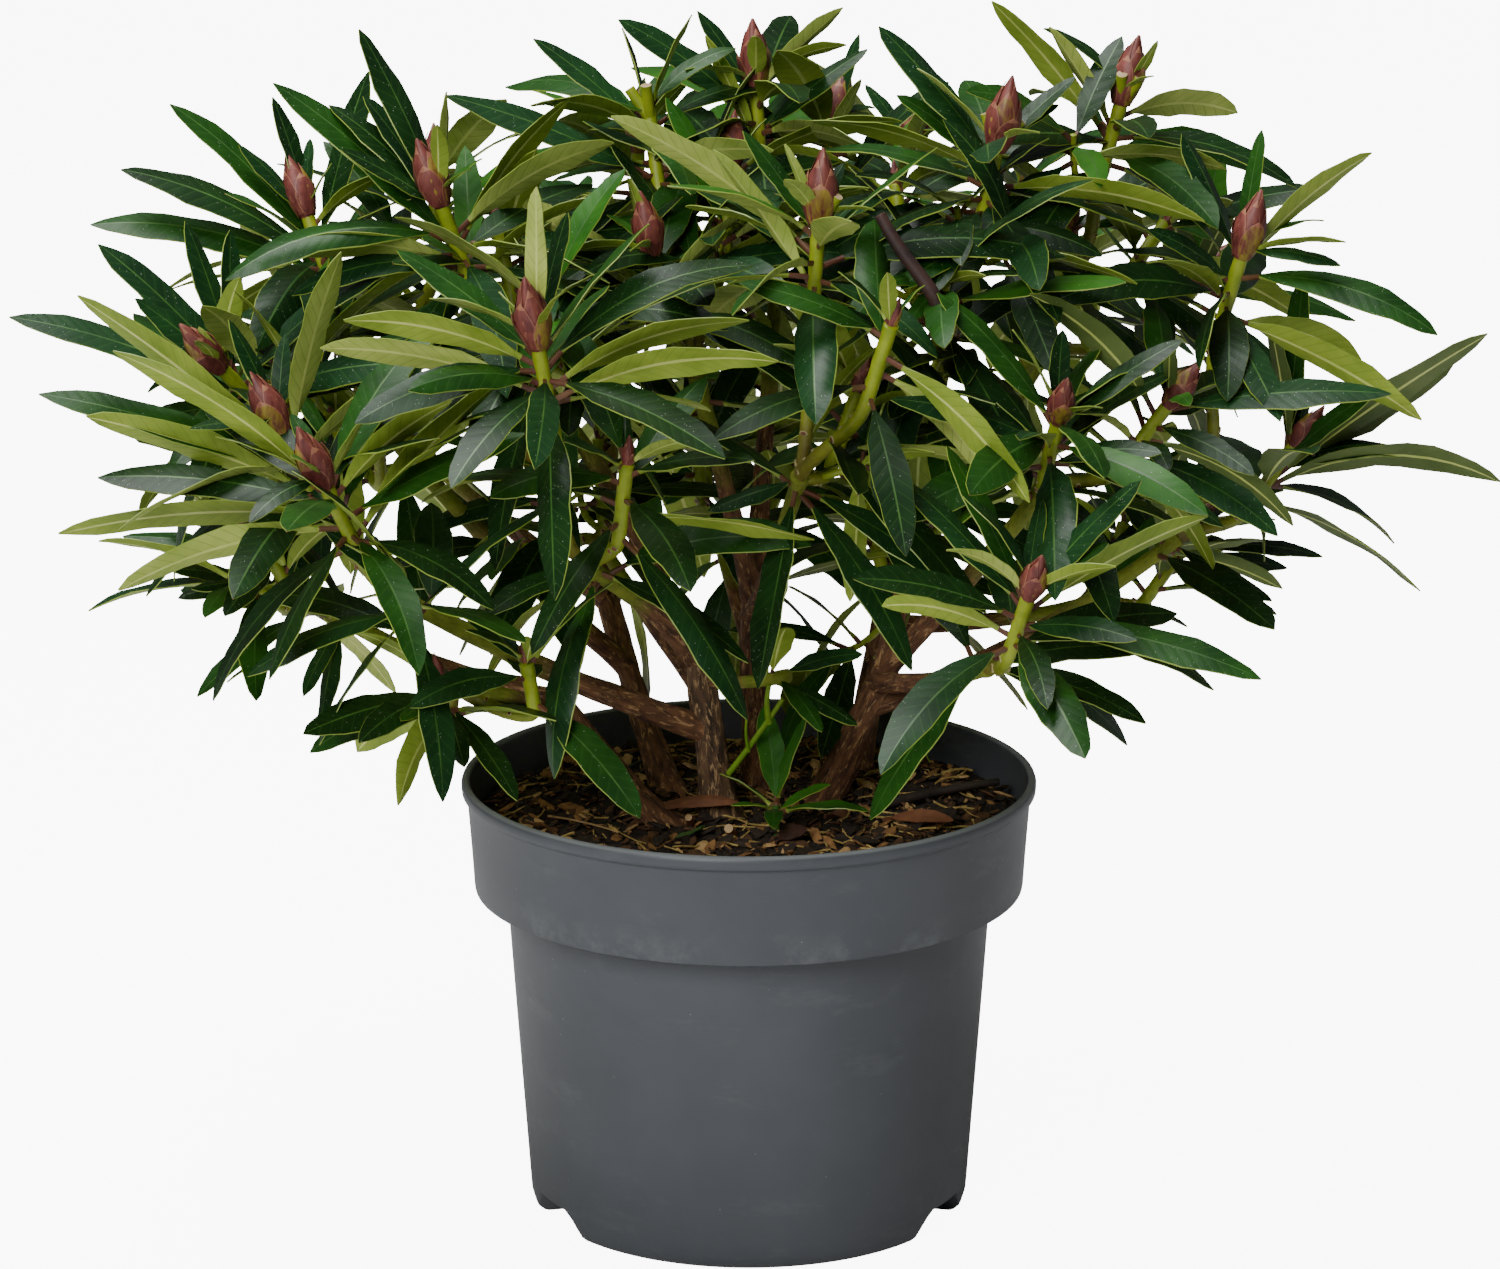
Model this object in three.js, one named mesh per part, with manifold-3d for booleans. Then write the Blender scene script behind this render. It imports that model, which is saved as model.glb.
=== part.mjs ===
// A potted rhododendron with narrow leaves, in its round nursery pot.
// Units are millimetres and +Z is up. The origin is on the pot's axis, on the
// surface that the pot stands on, and the plant's front faces -Y.

import * as THREE from "three";
import { mergeVertices } from "three/addons/utils/BufferGeometryUtils.js";
import Module from "manifold-3d";

const wasm = await Module();
wasm.setup();

// ---------------------------------------------------------------- sizes

const gap = 0.3; // clear space between pieces that touch
const shortest = 0.005; // edges under this are closed up after cutting
const roundSides = 28; // facets round the pot and the soil

const pot = {
  height: 202,
  rimRadius: 130, // over the bead
  beadHeight: 11,
  collarTopRadius: 127.4,
  collarFootRadius: 124.4,
  collarFoot: 151, // height of the collar's sharp lower edge
  bodyTopRadius: 110,
  bodyFootRadius: 100.5,
  footRadius: 95, // of the ring that touches the ground
  footRounding: 10,
  wall: 2.6,
  floor: 2.6,
};

const notch = {
  bearings: [-153, -27, 90], // degrees round the pot, from +X
  footWidth: 27, // degrees at the ground
  roofWidth: 14, // degrees at the top
  height: 13,
  depth: 34, // reach inwards from the foot ring
  wall: 2.4,
};

const soil = {
  top: 187,
  flatRadius: 96, // level part of the surface
  edgeDrop: 3, // how much lower it lies along the wall
};

const leafForm = {
  widthShare: 0.22, // widest point over the length
  widest: 0.47, // where that is along the length
  thickness: 2, // least depth from the blade to the keel
  sunk: 0.8, // how far the root reaches behind the twig's middle
  petioleShare: 0.1, // the narrow part that may touch its neighbours
};

const twigForm = {
  radius: 3.8, // to the corners of the three-sided twig
  startRadius: 2.5, // the same inside the neck
  sides: 3,
  steps: 4,
  neck: 14, // straight stem between a bough's tip and the first fork
  overlap: 6, // how far a shoot starts inside the neck
  leafySpan: 34, // length of shoot that carries the leaves of a whorl
  flatSpan: 16, // the same on a short side shoot
  collarSpan: 10, // the same for the old leaves round the fork
  lean: 0.0016, // outward lean of a shoot for each mm from the axis
};

const goldenAngle = 137.50776;
const ruleLeaf = {
  length: 92,
  lowPitch: 102, // degrees from the shoot's axis, lowest leaf
  highPitch: 40, // the same for the top leaf
  fall: [18, 34], // least bend under its weight, and the spread of it
  roll: 80, // spread of the twist about the midrib
  apart: 30, // least angle between a placed leaf and a leaf by rule
  trims: [1, 0.85, 0.7], // a leaf in the way is tried shorter, then left out
};

// The crown's lower edge climbs outward, and no leaf by rule hangs below it.
const skirt = { level: 208, within: 150, slope: 0.6 };

// ------------------------------------------------- stems, boughs, foliage

// A limb runs from a point on its parent, "at" being the share of the parent's
// length, to "end". "lift" bows its middle up or down.
const limbs = [
  { name: "stem_main", from: [-12, -17], end: [-22, -25, 262], lift: 0, radii: [9.5, 7.5] },
  { name: "stem_left", from: [-34, -24], end: [-84, -40, 247], lift: -5, radii: [8, 6] },
  { name: "stem_centre", from: [4, 30], end: [2, 24, 280], lift: 0, radii: [8, 6.5] },
  { name: "stem_right", from: [30, 10], end: [62, 2, 252], lift: -4, radii: [8.5, 6.5] },
  { name: "stem_back_right", from: [48, 58], end: [66, 96, 268], lift: -4, radii: [7.5, 6] },
  { name: "stem_back_left", from: [-34, 18], end: [-66, 84, 262], lift: -4, radii: [7.5, 6] },
  { name: "bough_front_left", parent: "stem_main", at: 1, end: [-62, -74, 312], lift: 6, radii: [5.2, 4] },
  { name: "bough_left", parent: "stem_main", at: 0.6, end: [-138, -82, 298], lift: -6, radii: [6, 4.2] },
  { name: "bough_upper_left", parent: "stem_main", at: 1, end: [-92, -6, 384], lift: 14, radii: [5, 4] },
  { name: "bough_low_centre", parent: "stem_main", at: 0.9, end: [6, -44, 258], lift: -3, radii: [3, 2.6] },
  { name: "bough_low_left", parent: "stem_left", at: 1, end: [-176, -4, 272], lift: -8, radii: [5, 3.8] },
  { name: "bough_low_front", parent: "stem_left", at: 0.85, end: [-118, -74, 262], lift: 4, radii: [4, 3.6] },
  { name: "bough_inner_left", parent: "stem_main", at: 0.8, end: [-62, 36, 292],
    lift: -3, radii: [3.8, 3.2] },
  { name: "bough_inner_back", parent: "stem_centre", at: 0.7, end: [-14, 84, 290],
    lift: -4, radii: [3.8, 3.2] },
  { name: "bough_inner_right", parent: "stem_right", at: 0.8, end: [74, 54, 272],
    lift: -4, radii: [3.8, 3.2] },
  { name: "bough_far_left", parent: "stem_back_left", at: 0.7, end: [-158, 22, 350],
    lift: -8, radii: [5, 4] },
  { name: "bough_mid", parent: "stem_centre", at: 1, end: [-20, 6, 372], lift: 0, radii: [5, 4] },
  { name: "bough_front_mid", parent: "stem_centre", at: 0.9, end: [20, -58, 346], lift: -6, radii: [5, 4] },
  { name: "bough_top_back", parent: "stem_centre", at: 1, end: [12, 92, 404], lift: -6, radii: [5, 4] },
  { name: "bough_upper_right", parent: "stem_right", at: 1, end: [86, 4, 386], lift: 0, radii: [5, 4] },
  { name: "bough_right", parent: "stem_right", at: 1, end: [122, -52, 338], lift: -4, radii: [5, 4] },
  { name: "bough_low_right", parent: "stem_right", at: 0.9, end: [98, -96, 276],
    lift: -4, radii: [4.8, 3.8] },
  { name: "bough_far_right", parent: "stem_right", at: 0.75, end: [182, 14, 300],
    lift: -14, radii: [5, 3.8] },
  { name: "bough_top_right", parent: "stem_back_right", at: 1, end: [142, 52, 410], lift: -6, radii: [5, 4] },
  { name: "bough_low_back_right", parent: "stem_back_right", at: 0.8, end: [150, 70, 262],
    lift: -6, radii: [4.6, 3.6] },
  { name: "bough_back_right", parent: "stem_back_right", at: 1, end: [132, 158, 350],
    lift: -6, radii: [5, 3.8] },
  { name: "bough_back", parent: "stem_back_right", at: 1, end: [34, 186, 356], lift: -6, radii: [5, 3.8] },
  { name: "bough_back_left", parent: "stem_back_left", at: 1, end: [-66, 178, 352],
    lift: -6, radii: [5, 3.8] },
  { name: "bough_left_back", parent: "stem_back_left", at: 1, end: [-160, 122, 330],
    lift: -6, radii: [5, 3.8] },
];

// A foliage mass grows from one neck at its bough's tip. Each shoot ends at
// "tip" in a whorl of leaves, with a bud of the given length, or cut stubs
// beside it. "collar" counts the old leaves round the fork. A placed leaf is
// [bearing, rise, length, fall, roll]: degrees round from +X, degrees above
// level from root to tip, mm, degrees of bend, and degrees of twist. The
// seeded rule adds the other leaves; "raise" lifts them by so many degrees and
// "size" shortens them.
const masses = [
  { name: "foliage_front_left", bough: "bough_front_left", collar: 2,
    collarPlaced: [[-121, -60, 96, 60, 20], [-113, -57, 62, 50, 25], [-145, -12, 60, 40, -20],
      [-18, -26, 80, 24, 15]],
    shoots: [
      { tip: [-89, -140, 433], leaves: 17, bud: 32,
        placed: [[-88, -46, 96, 50, 45], [-20, 14, 108, 36, -45], [175, 11, 100, 30, 45],
          [-10, 21, 94, 40, -40], [-143, 6, 72, 40, -35], [-29, -15, 92, 26, 20], [15, 25, 104, 56, 20],
          [-170, 16, 88, 34, 45], [163, 35, 78, 20, -15], [29, 45, 74, 16, -20], [-99, 80, 74, 20, -40],
          [64, 67, 58, 10, -25]] },
      { tip: [-52, -112, 372], leaves: 8 }] },
  { name: "foliage_left_front", bough: "bough_left", collar: 3, raise: 10,
    shoots: [
      { tip: [-181, -125, 369], leaves: 14, bud: 30,
        placed: [[7, 47, 92, 20, -45], [-61, -28, 92, 44, 0], [-162, -12, 102, 34, 50],
          [-1, 27, 88, 16, 30], [-179, -3, 120, 20, 45], [178, 6, 104, 24, -25], [-11, 41, 72, 30, -35],
          [-170, 36, 112, 26, 40], [7, 62, 34, 14, -40]] },
      { tip: [-202, -90, 384], leaves: 12, bud: 30,
        placed: [[-168, 21, 104, 16, 45], [-177, 19, 122, 20, -25], [178, 39, 122, 10, 45],
          [3, 37, 64, 20, -40], [18, 74, 88, 16, -50], [-173, 66, 56, 10, -35]] },
      { tip: [-146, -124, 318], leaves: 5 }] },
  { name: "foliage_upper_left", bough: "bough_upper_left", collar: 3,
    shoots: [
      { tip: [-136, -20, 471], leaves: 15, bud: 30,
        placed: [[-163, -6, 80, 50, -25], [-169, 4, 88, 40, 45], [169, 42, 112, 20, -20],
          [31, 49, 84, 30, -60], [-167, -6, 108, 60, -25], [14, 28, 84, 40, -50], [156, 51, 72, 20, -10],
          [162, 41, 76, 30, -15], [151, 60, 92, 16, -5], [-168, 33, 54, 16, -35], [71, 74, 50, 10, -90]] },
      { tip: [-86, -44, 432], leaves: 7 },
      { tip: [-112, 34, 446], leaves: 8 }] },
  { name: "foliage_low_left", bough: "bough_low_left", collar: 2, raise: 42, size: 0.68,
    collarPlaced: [[-143, -12, 36, 14, 15], [-119, -35, 46, 20, 5], [-96, -46, 58, 20, 35]],
    shoots: [
      { tip: [-238, 50, 303], leaves: 10, bud: 20,
        placed: [[-144, -3, 44, 20, -25], [172, 5, 56, 14, -25]] },
      { tip: [-220, -24, 322], leaves: 10, bud: 18,
        placed: [[-154, 4, 46, 20, -25], [-107, -13, 52, 30, -15], [-69, -3, 32, 10, -90]] }] },
  { name: "foliage_low_front", bough: "bough_low_front", collar: 0, size: 0.75,
    shoots: [
      { tip: [-134, -84, 268], leaves: 9, flat: true,
        placed: [[-105, -10, 88, 50, 90], [132, -25, 78, 40, 55], [-82, -16, 48, 30, 0],
          [-53, -30, 62, 20, 0], [-117, -2, 70, 40, -35], [-136, -2, 78, 20, -30], [-106, -2, 46, 16, -15]] },
      { tip: [-96, -104, 282], leaves: 3, flat: true }] },
  { name: "foliage_low_centre", bough: "bough_low_centre", collar: 0,
    collarPlaced: [[-25, -22, 46, 24, 20], [-78, 38, 58, 40, 0], [-60, -20, 44, 30, 10],
      [20, 10, 40, 30, 30]],
    shoots: [] },
  { name: "foliage_inner_left", bough: "bough_inner_left", collar: 2, size: 0.85,
    shoots: [
      { tip: [-68, 50, 346], leaves: 8 },
      { tip: [-98, 16, 342], leaves: 7 }] },
  { name: "foliage_inner_back", bough: "bough_inner_back", collar: 2, size: 0.85,
    shoots: [
      { tip: [-26, 96, 346], leaves: 7 },
      { tip: [20, 98, 322], leaves: 7 }] },
  { name: "foliage_inner_right", bough: "bough_inner_right", collar: 2, size: 0.85,
    shoots: [
      { tip: [92, 66, 326], leaves: 8 },
      { tip: [52, 66, 312], leaves: 6 }] },
  { name: "foliage_far_left", bough: "bough_far_left", collar: 3,
    shoots: [
      { tip: [-233, -40, 401], leaves: 13, bud: 28,
        placed: [[-160, -3, 62, 40, -25], [-167, 22, 116, 24, -30], [162, 43, 96, 16, -15],
          [-169, 43, 64, 14, -35], [135, 65, 76, 14, 10], [96, 67, 66, 10, 50], [-48, 84, 32, 8, 15]] },
      { tip: [-200, 50, 453], leaves: 12, bud: 28,
        placed: [[-167, 15, 112, 40, -30], [-168, 28, 104, 34, -30], [165, 45, 98, 24, -15],
          [49, 66, 84, 12, -5], [136, 64, 68, 16, 10], [-19, 35, 52, 40, -30], [-178, 48, 46, 16, -30]] },
      { tip: [-206, 26, 378], leaves: 6 }] },
  { name: "foliage_mid", bough: "bough_mid", collar: 2,
    shoots: [
      { tip: [-43, -10, 447], leaves: 11, bud: 28,
        placed: [[164, 33, 88, 24, 50], [22, 41, 52, 30, -55], [-170, 18, 64, 30, -30],
          [-166, 72, 40, 8, 25]] },
      { tip: [-45, 60, 496], leaves: 13, stubs: 3,
        placed: [[-171, 23, 104, 16, -30], [-33, 10, 64, 26, -45], [160, 39, 72, 16, -15],
          [133, 66, 46, 8, 40]] },
      { tip: [-8, 62, 472], leaves: 7, bud: 26 }] },
  { name: "foliage_front_mid", bough: "bough_front_mid", collar: 3,
    collarPlaced: [[-41, -44, 98, 24, 0], [-20, -30, 100, 24, 15], [-107, -65, 92, 30, 35],
      [-146, -10, 46, 16, -25]],
    shoots: [
      { tip: [30, -80, 474], leaves: 14, bud: 32, stubs: 1,
        placed: [[-175, 55, 76, 10, 35], [-30, -24, 68, 40, 15], [14, 1, 112, 44, 30],
          [165, 33, 108, 24, 50], [20, 37, 68, 16, -15], [153, 51, 56, 10, -10], [-166, 67, 40, 10, 25]] },
      { tip: [60, -120, 434], leaves: 6,
        placed: [[-156, -12, 78, 36, -20], [20, -45, 78, 34, -30], [-30, -37, 92, 30, -60],
          [-172, 22, 68, 24, -30]] },
      { tip: [48, -52, 392], leaves: 7, bud: 18 }] },
  { name: "foliage_top_back", bough: "bough_top_back", collar: 2,
    shoots: [
      { tip: [3, 90, 505], leaves: 13, bud: 30,
        placed: [[-171, 65, 60, 10, 30], [16, 37, 64, 16, 20], [-175, 37, 80, 20, -35],
          [145, 54, 52, 12, -5], [-10, 45, 56, 12, -35]] },
      { tip: [40, 136, 480], leaves: 9, bud: 28,
        placed: [[-173, 46, 68, 16, 35], [-43, 62, 44, 16, -5], [53, 69, 48, 10, -15]] },
      { tip: [-36, 120, 450], leaves: 8 }] },
  { name: "foliage_upper_right", bough: "bough_upper_right", collar: 3,
    shoots: [
      { tip: [109, -20, 496], leaves: 13, bud: 32, stubs: 2,
        placed: [[-107, -19, 76, 50, 0], [-71, -29, 86, 40, 0], [-14, -6, 98, 30, -45],
          [159, 36, 56, 30, -20], [156, 45, 80, 16, -15], [24, 40, 48, 10, 15]] },
      { tip: [84, -58, 440], leaves: 8 },
      { tip: [66, 44, 464], leaves: 8 }] },
  { name: "foliage_right", bough: "bough_right", collar: 3, raise: 8,
    shoots: [
      { tip: [132, -110, 393], leaves: 14, bud: 24,
        placed: [[-28, 13, 56, 36, 35], [-102, 16, 60, 36, 0], [15, 31, 68, 20, 20]] },
      { tip: [184, -60, 389], leaves: 13, bud: 24,
        placed: [[-36, -17, 82, 36, 20], [-71, -6, 40, 40, 20], [-44, -12, 60, 30, 25],
          [-13, 7, 100, 20, 25]] }] },
  { name: "foliage_low_right", bough: "bough_low_right", collar: 1,
    collarPlaced: [[-148, -50, 80, 30, 0], [23, -30, 84, 50, 45], [8, 6, 74, 30, 20], [-19, -13, 76, 30, 20]],
    shoots: [
      { tip: [118, -165, 330], leaves: 15, bud: 24,
        placed: [[-135, -23, 96, 40, -10], [-72, -20, 86, 30, 10], [146, 4, 68, 40, 60],
          [-75, -16, 62, 36, 5], [-39, 5, 62, 30, 35], [-20, -7, 108, 24, 20], [-156, 19, 86, 24, -35],
          [10, 26, 90, 20, -50], [140, 38, 80, 16, -5], [139, 56, 76, 12, 0], [-4, 49, 72, 14, 30],
          [81, 51, 46, 10, -40]] }] },
  { name: "foliage_far_right", bough: "bough_far_right", collar: 4, raise: 28,
    collarPlaced: [[2, -18, 60, 30, -45], [-24, -23, 54, 10, 15]],
    shoots: [
      { tip: [218, -10, 446], leaves: 14, bud: 30,
        placed: [[-80, -20, 84, 40, 0], [-22, -24, 100, 20, -50], [-91, -24, 72, 50, 0],
          [-152, 4, 92, 50, -35], [-109, -16, 74, 50, 50], [-160, 34, 50, 30, -50], [-22, -10, 98, 44, 25],
          [16, 40, 80, 26, -55], [140, 59, 64, 16, 0], [56, 68, 58, 20, -20]] },
      { tip: [248, 30, 350], leaves: 13, bud: 22,
        placed: [[-85, -13, 60, 40, -90], [2, 3, 116, 64, -45], [1, 35, 122, 10, -45], [6, 10, 68, 60, 25],
          [7, 30, 96, 10, -50], [-21, 41, 60, 10, 40], [65, 70, 84, 10, -30], [159, 78, 60, 10, 50]] }] },
  { name: "foliage_top_right", bough: "bough_top_right", collar: 3,
    shoots: [
      { tip: [167, 40, 506], leaves: 13, bud: 30, stubs: 2,
        placed: [[-166, 18, 98, 30, -35], [26, -10, 86, 56, 40], [-178, 50, 84, 16, 35],
          [-177, 58, 56, 10, 35], [38, -3, 70, 40, -55], [-21, 60, 36, 10, -25]] },
      { tip: [146, 100, 436], leaves: 7, bud: 22 },
      { tip: [190, 80, 440], leaves: 8,
        placed: [[-80, -32, 58, 16, -5]] }] },
  { name: "foliage_low_back_right", bough: "bough_low_back_right", collar: 4, raise: 40, size: 0.8,
    shoots: [
      { tip: [206, 76, 296], leaves: 12, bud: 20 },
      { tip: [176, 116, 290], leaves: 10 }] },
  { name: "foliage_back_right", bough: "bough_back_right", collar: 3,
    shoots: [
      { tip: [150, 212, 400], leaves: 11, bud: 28 },
      { tip: [212, 146, 400], leaves: 10, bud: 28 },
      { tip: [128, 150, 446], leaves: 7 }] },
  { name: "foliage_back", bough: "bough_back", collar: 3,
    shoots: [
      { tip: [44, 246, 400], leaves: 10, bud: 30 },
      { tip: [76, 184, 458], leaves: 9, bud: 28 },
      { tip: [4, 222, 336], leaves: 8 }] },
  { name: "foliage_back_left", bough: "bough_back_left", collar: 3,
    shoots: [
      { tip: [-92, 232, 396], leaves: 10, bud: 30 },
      { tip: [-52, 168, 462], leaves: 10, bud: 28 },
      { tip: [-40, 232, 336], leaves: 8 }] },
  { name: "foliage_left_back", bough: "bough_left_back", collar: 3, raise: 24,
    shoots: [
      { tip: [-212, 150, 380], leaves: 10, bud: 28 },
      { tip: [-146, 130, 452], leaves: 10, bud: 28 },
      { tip: [-196, 176, 318], leaves: 7 }] },
];

// A young sprout stands by itself on the soil, with its leaves placed by hand.
const sprout = {
  foot: [12, -44],
  height: 13,
  radius: 2,
  leaves: [[100, 66, 46, 20, 0], [20, 72, 44, 16, 0], [160, 30, 30, 30, 20], [-150, 14, 24, 40, 0],
    [-95, 4, 34, 40, 0], [-20, 6, 44, 30, 0], [15, 26, 28, 30, 10]],
};

// ------------------------------------------------------------- materials

function finish(color, roughness) {
  return new THREE.MeshStandardMaterial({ color, roughness, metalness: 0 });
}

const colours = {
  pot: [0x5b5e61, 0.5],
  soil: [0x33251b, 0.95],
  bark: [0x6b4a35, 0.85],
  foliage: [0x2c5a34, 0.45],
};

// ---------------------------------------------------------- small helpers

const vec = (list) => new THREE.Vector3(...list);
const radians = THREE.MathUtils.degToRad;
const mix = THREE.MathUtils.lerp;
const mixed = (from, to, share) => from.clone().lerp(to, share);

// A number from 0 to 1 that depends only on its keys.
function chance(...keys) {
  const weights = [12.9898, 78.233, 37.719, 9.151];
  const sum = keys.reduce((total, key, i) => total + key * weights[i], 0);
  const value = Math.sin(sum) * 43758.5453;
  return value - Math.floor(value);
}

// A closed three.js geometry as a solid that can be joined and cut.
function toSolid(geometry, weld = 1e-4) {
  const bare = geometry.clone();
  bare.deleteAttribute("normal");
  bare.deleteAttribute("uv");
  const merged = mergeVertices(bare, weld);
  return new wasm.Manifold(new wasm.Mesh({
    numProp: 3,
    vertProperties: new Float32Array(merged.attributes.position.array),
    triVerts: new Uint32Array(merged.index.array),
  }));
}

function toGeometry(solid) {
  const mesh = solid.getMesh();
  const positions = new Float32Array(mesh.numVert * 3);
  for (let i = 0; i < mesh.numVert; i += 1) {
    positions.set(mesh.vertProperties.subarray(i * mesh.numProp, i * mesh.numProp + 3), i * 3);
  }
  const geometry = new THREE.BufferGeometry();
  geometry.setAttribute("position", new THREE.BufferAttribute(positions, 3));
  geometry.setIndex(new THREE.BufferAttribute(mesh.triVerts, 1));
  geometry.computeVertexNormals();
  return geometry;
}

// The largest body of a solid, with its shortest edges closed up: loose scraps
// go, and sealed hollows are filled.
function mainBody(solid) {
  const bodies = solid.decompose();
  return bodies.reduce((best, body) => (body.volume() > best.volume() ? body : best)).simplify(shortest);
}

// A closed skin over rings of points, each ring with the same number of points,
// running from the first ring's cap to the last one's.
function skinOver(rings) {
  const sides = rings[0].length;
  const points = rings.flat();
  const faces = [];
  for (let r = 0; r + 1 < rings.length; r += 1) {
    for (let s = 0; s < sides; s += 1) {
      const a = r * sides + s;
      const b = r * sides + ((s + 1) % sides);
      faces.push(a, b, b + sides, a, b + sides, a + sides);
    }
  }
  const last = (rings.length - 1) * sides;
  for (let s = 1; s + 1 < sides; s += 1) {
    faces.push(0, s + 1, s, last, last + s, last + s + 1);
  }
  const geometry = new THREE.BufferGeometry().setFromPoints(points);
  geometry.setIndex(faces);
  return geometry;
}

// A round tube along a curve, its radius a function of the share along it.
// "longer" lengthens it past the curve's end.
function taperedTube(curve, radiusAt, sides, steps, longer = 0) {
  const frames = curve.computeFrenetFrames(steps, false);
  const rings = [];
  for (let i = 0; i <= steps; i += 1) {
    const centre = curve.getPointAt(i / steps).clone();
    if (i === steps) {
      centre.addScaledVector(frames.tangents[i], longer);
    }
    const ring = [];
    for (let s = 0; s < sides; s += 1) {
      const angle = (2 * Math.PI * s) / sides;
      const radius = radiusAt(i / steps);
      ring.push(centre.clone()
        .addScaledVector(frames.normals[i], radius * Math.cos(angle))
        .addScaledVector(frames.binormals[i], radius * Math.sin(angle)));
    }
    rings.push(ring);
  }
  return skinOver(rings);
}

// ------------------------------------------------------------ pot and soil

// A lathe turned about the vertical axis from [radius, height] pairs.
function turned(profile, sides = roundSides) {
  const points = profile.map(([radius, height]) => new THREE.Vector2(radius, height));
  const geometry = new THREE.LatheGeometry(points, sides);
  geometry.rotateX(Math.PI / 2);
  return geometry;
}

function potShell() {
  const inner = pot.wall;
  const profile = [
    [0, 0],
    [pot.footRadius, 0],
    [pot.footRadius + 4, 3],
    [pot.bodyFootRadius, pot.footRounding],
    [pot.bodyTopRadius, pot.collarFoot],
    [pot.collarFootRadius, pot.collarFoot],
    [pot.collarTopRadius, pot.height - pot.beadHeight],
    [pot.rimRadius, pot.height - pot.beadHeight + 1],
    [pot.rimRadius, pot.height - 2],
    [pot.rimRadius - 2, pot.height],
    [pot.collarTopRadius - inner, pot.height],
    [pot.collarFootRadius - inner - 1, pot.collarFoot + inner + 1],
    [pot.bodyTopRadius - inner, pot.collarFoot - 4],
    [pot.bodyFootRadius - inner, pot.footRounding],
    [pot.footRadius - 1.5, pot.floor],
    [0, pot.floor],
  ];
  return toSolid(turned(profile));
}

// A wedge that narrows upwards, standing between two radii at one bearing.
function notchBlock(bearing, extra, foot, roof, inward) {
  const outward = pot.bodyFootRadius + 8;
  const inner = pot.footRadius - notch.depth - inward;
  const ring = (radius) => [[notch.footWidth, foot], [notch.roofWidth, roof]].flatMap(([width, height]) => {
    const half = radians(width / 2);
    const side = extra / pot.footRadius;
    const angles = height === foot ? [-half - side, half + side] : [half + side, -half - side];
    return angles.map((angle) => {
      const turn = radians(bearing) + angle;
      return new THREE.Vector3(radius * Math.cos(turn), radius * Math.sin(turn), height);
    });
  });
  return toSolid(skinOver([ring(outward), ring(inner)].reverse()));
}

function notchCut(bearing) {
  return notchBlock(bearing, 0, -1, notch.height, 0);
}

// The pocket of thin floor that bridges a notch, cut back to the pot's outside.
function notchPocket(bearing, extra) {
  const outside = notch.wall + extra;
  const around = notchBlock(bearing, outside, 0, notch.height + outside, outside);
  return around.intersect(potBody());
}

// The pot's outside as one full solid, up to the collar.
function potBody() {
  return toSolid(turned([
    [0, 0],
    [pot.footRadius, 0],
    [pot.footRadius + 4, 3],
    [pot.bodyFootRadius, pot.footRounding],
    [pot.bodyTopRadius, pot.collarFoot],
    [0, pot.collarFoot],
  ]));
}

function makePot() {
  let solid = potShell();
  for (const bearing of notch.bearings) {
    solid = solid.add(notchPocket(bearing, 0));
  }
  for (const bearing of notch.bearings) {
    solid = solid.subtract(notchCut(bearing));
  }
  return mainBody(solid);
}

function makeSoil() {
  const inset = pot.wall + gap;
  const upperRadius = mix(pot.collarFootRadius, pot.collarTopRadius, 0.7) - inset - 1.2;
  let solid = toSolid(turned([
    [0, pot.floor + gap],
    [pot.footRadius - 2, pot.floor + gap],
    [pot.bodyFootRadius - inset, pot.footRounding + 0.5],
    [pot.bodyTopRadius - inset, pot.collarFoot - 4],
    [pot.collarFootRadius - inset - 2, pot.collarFoot + inset + 1],
    [upperRadius, soil.top - soil.edgeDrop],
    [soil.flatRadius, soil.top],
    [0, soil.top],
  ]));
  for (const bearing of notch.bearings) {
    solid = solid.subtract(notchPocket(bearing, gap));
  }
  return mainBody(solid);
}

// --------------------------------------------------------- stems and boughs

const limbCurves = {};
const rootDepth = 8; // how far a stem is drawn below the soil before its flat cut

function limbCurve(limb) {
  const start = limb.parent
    ? limbCurves[limb.parent].getPoint(limb.at)
    : vec([...limb.from, soil.top - rootDepth]);
  const end = vec(limb.end);
  const middle = start.clone().add(end).multiplyScalar(0.5);
  middle.z += limb.lift;
  return new THREE.QuadraticBezierCurve3(start, middle, end);
}

// A stem flares at its root and rounds off at the fork. A bough ends flat.
function limbShape(limb, extra) {
  const [first, last] = limb.radii;
  const curve = limbCurves[limb.name];
  const length = curve.getLength();
  const isStem = !limb.parent;
  const radiusAt = (share) => {
    const flare = isStem ? 0.8 * first * Math.exp((-share * length) / 9) : 0;
    const roundOff = isStem && share > 0.99 ? 0.62 : 1;
    return (mix(first, last, share) + flare) * roundOff + extra;
  };
  return toSolid(taperedTube(curve, radiusAt, isStem ? 7 : 5, isStem ? 5 : 3, extra));
}

// Everything below the level where the stems are cut flat.
function groundBlock() {
  const block = new THREE.BoxGeometry(400, 400, 60);
  block.translate(0, 0, soil.top + gap - 30);
  return toSolid(block);
}

function makeLimbs() {
  const made = {};
  const ground = groundBlock();
  for (const limb of limbs) {
    limbCurves[limb.name] = limbCurve(limb);
    let solid = limbShape(limb, 0).subtract(ground);
    for (const other of Object.keys(made)) {
      solid = solid.subtract(made[other].fat);
    }
    made[limb.name] = { solid: mainBody(solid), fat: limbShape(limb, gap) };
  }
  return made;
}

// ------------------------------------------------------------------ foliage

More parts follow.
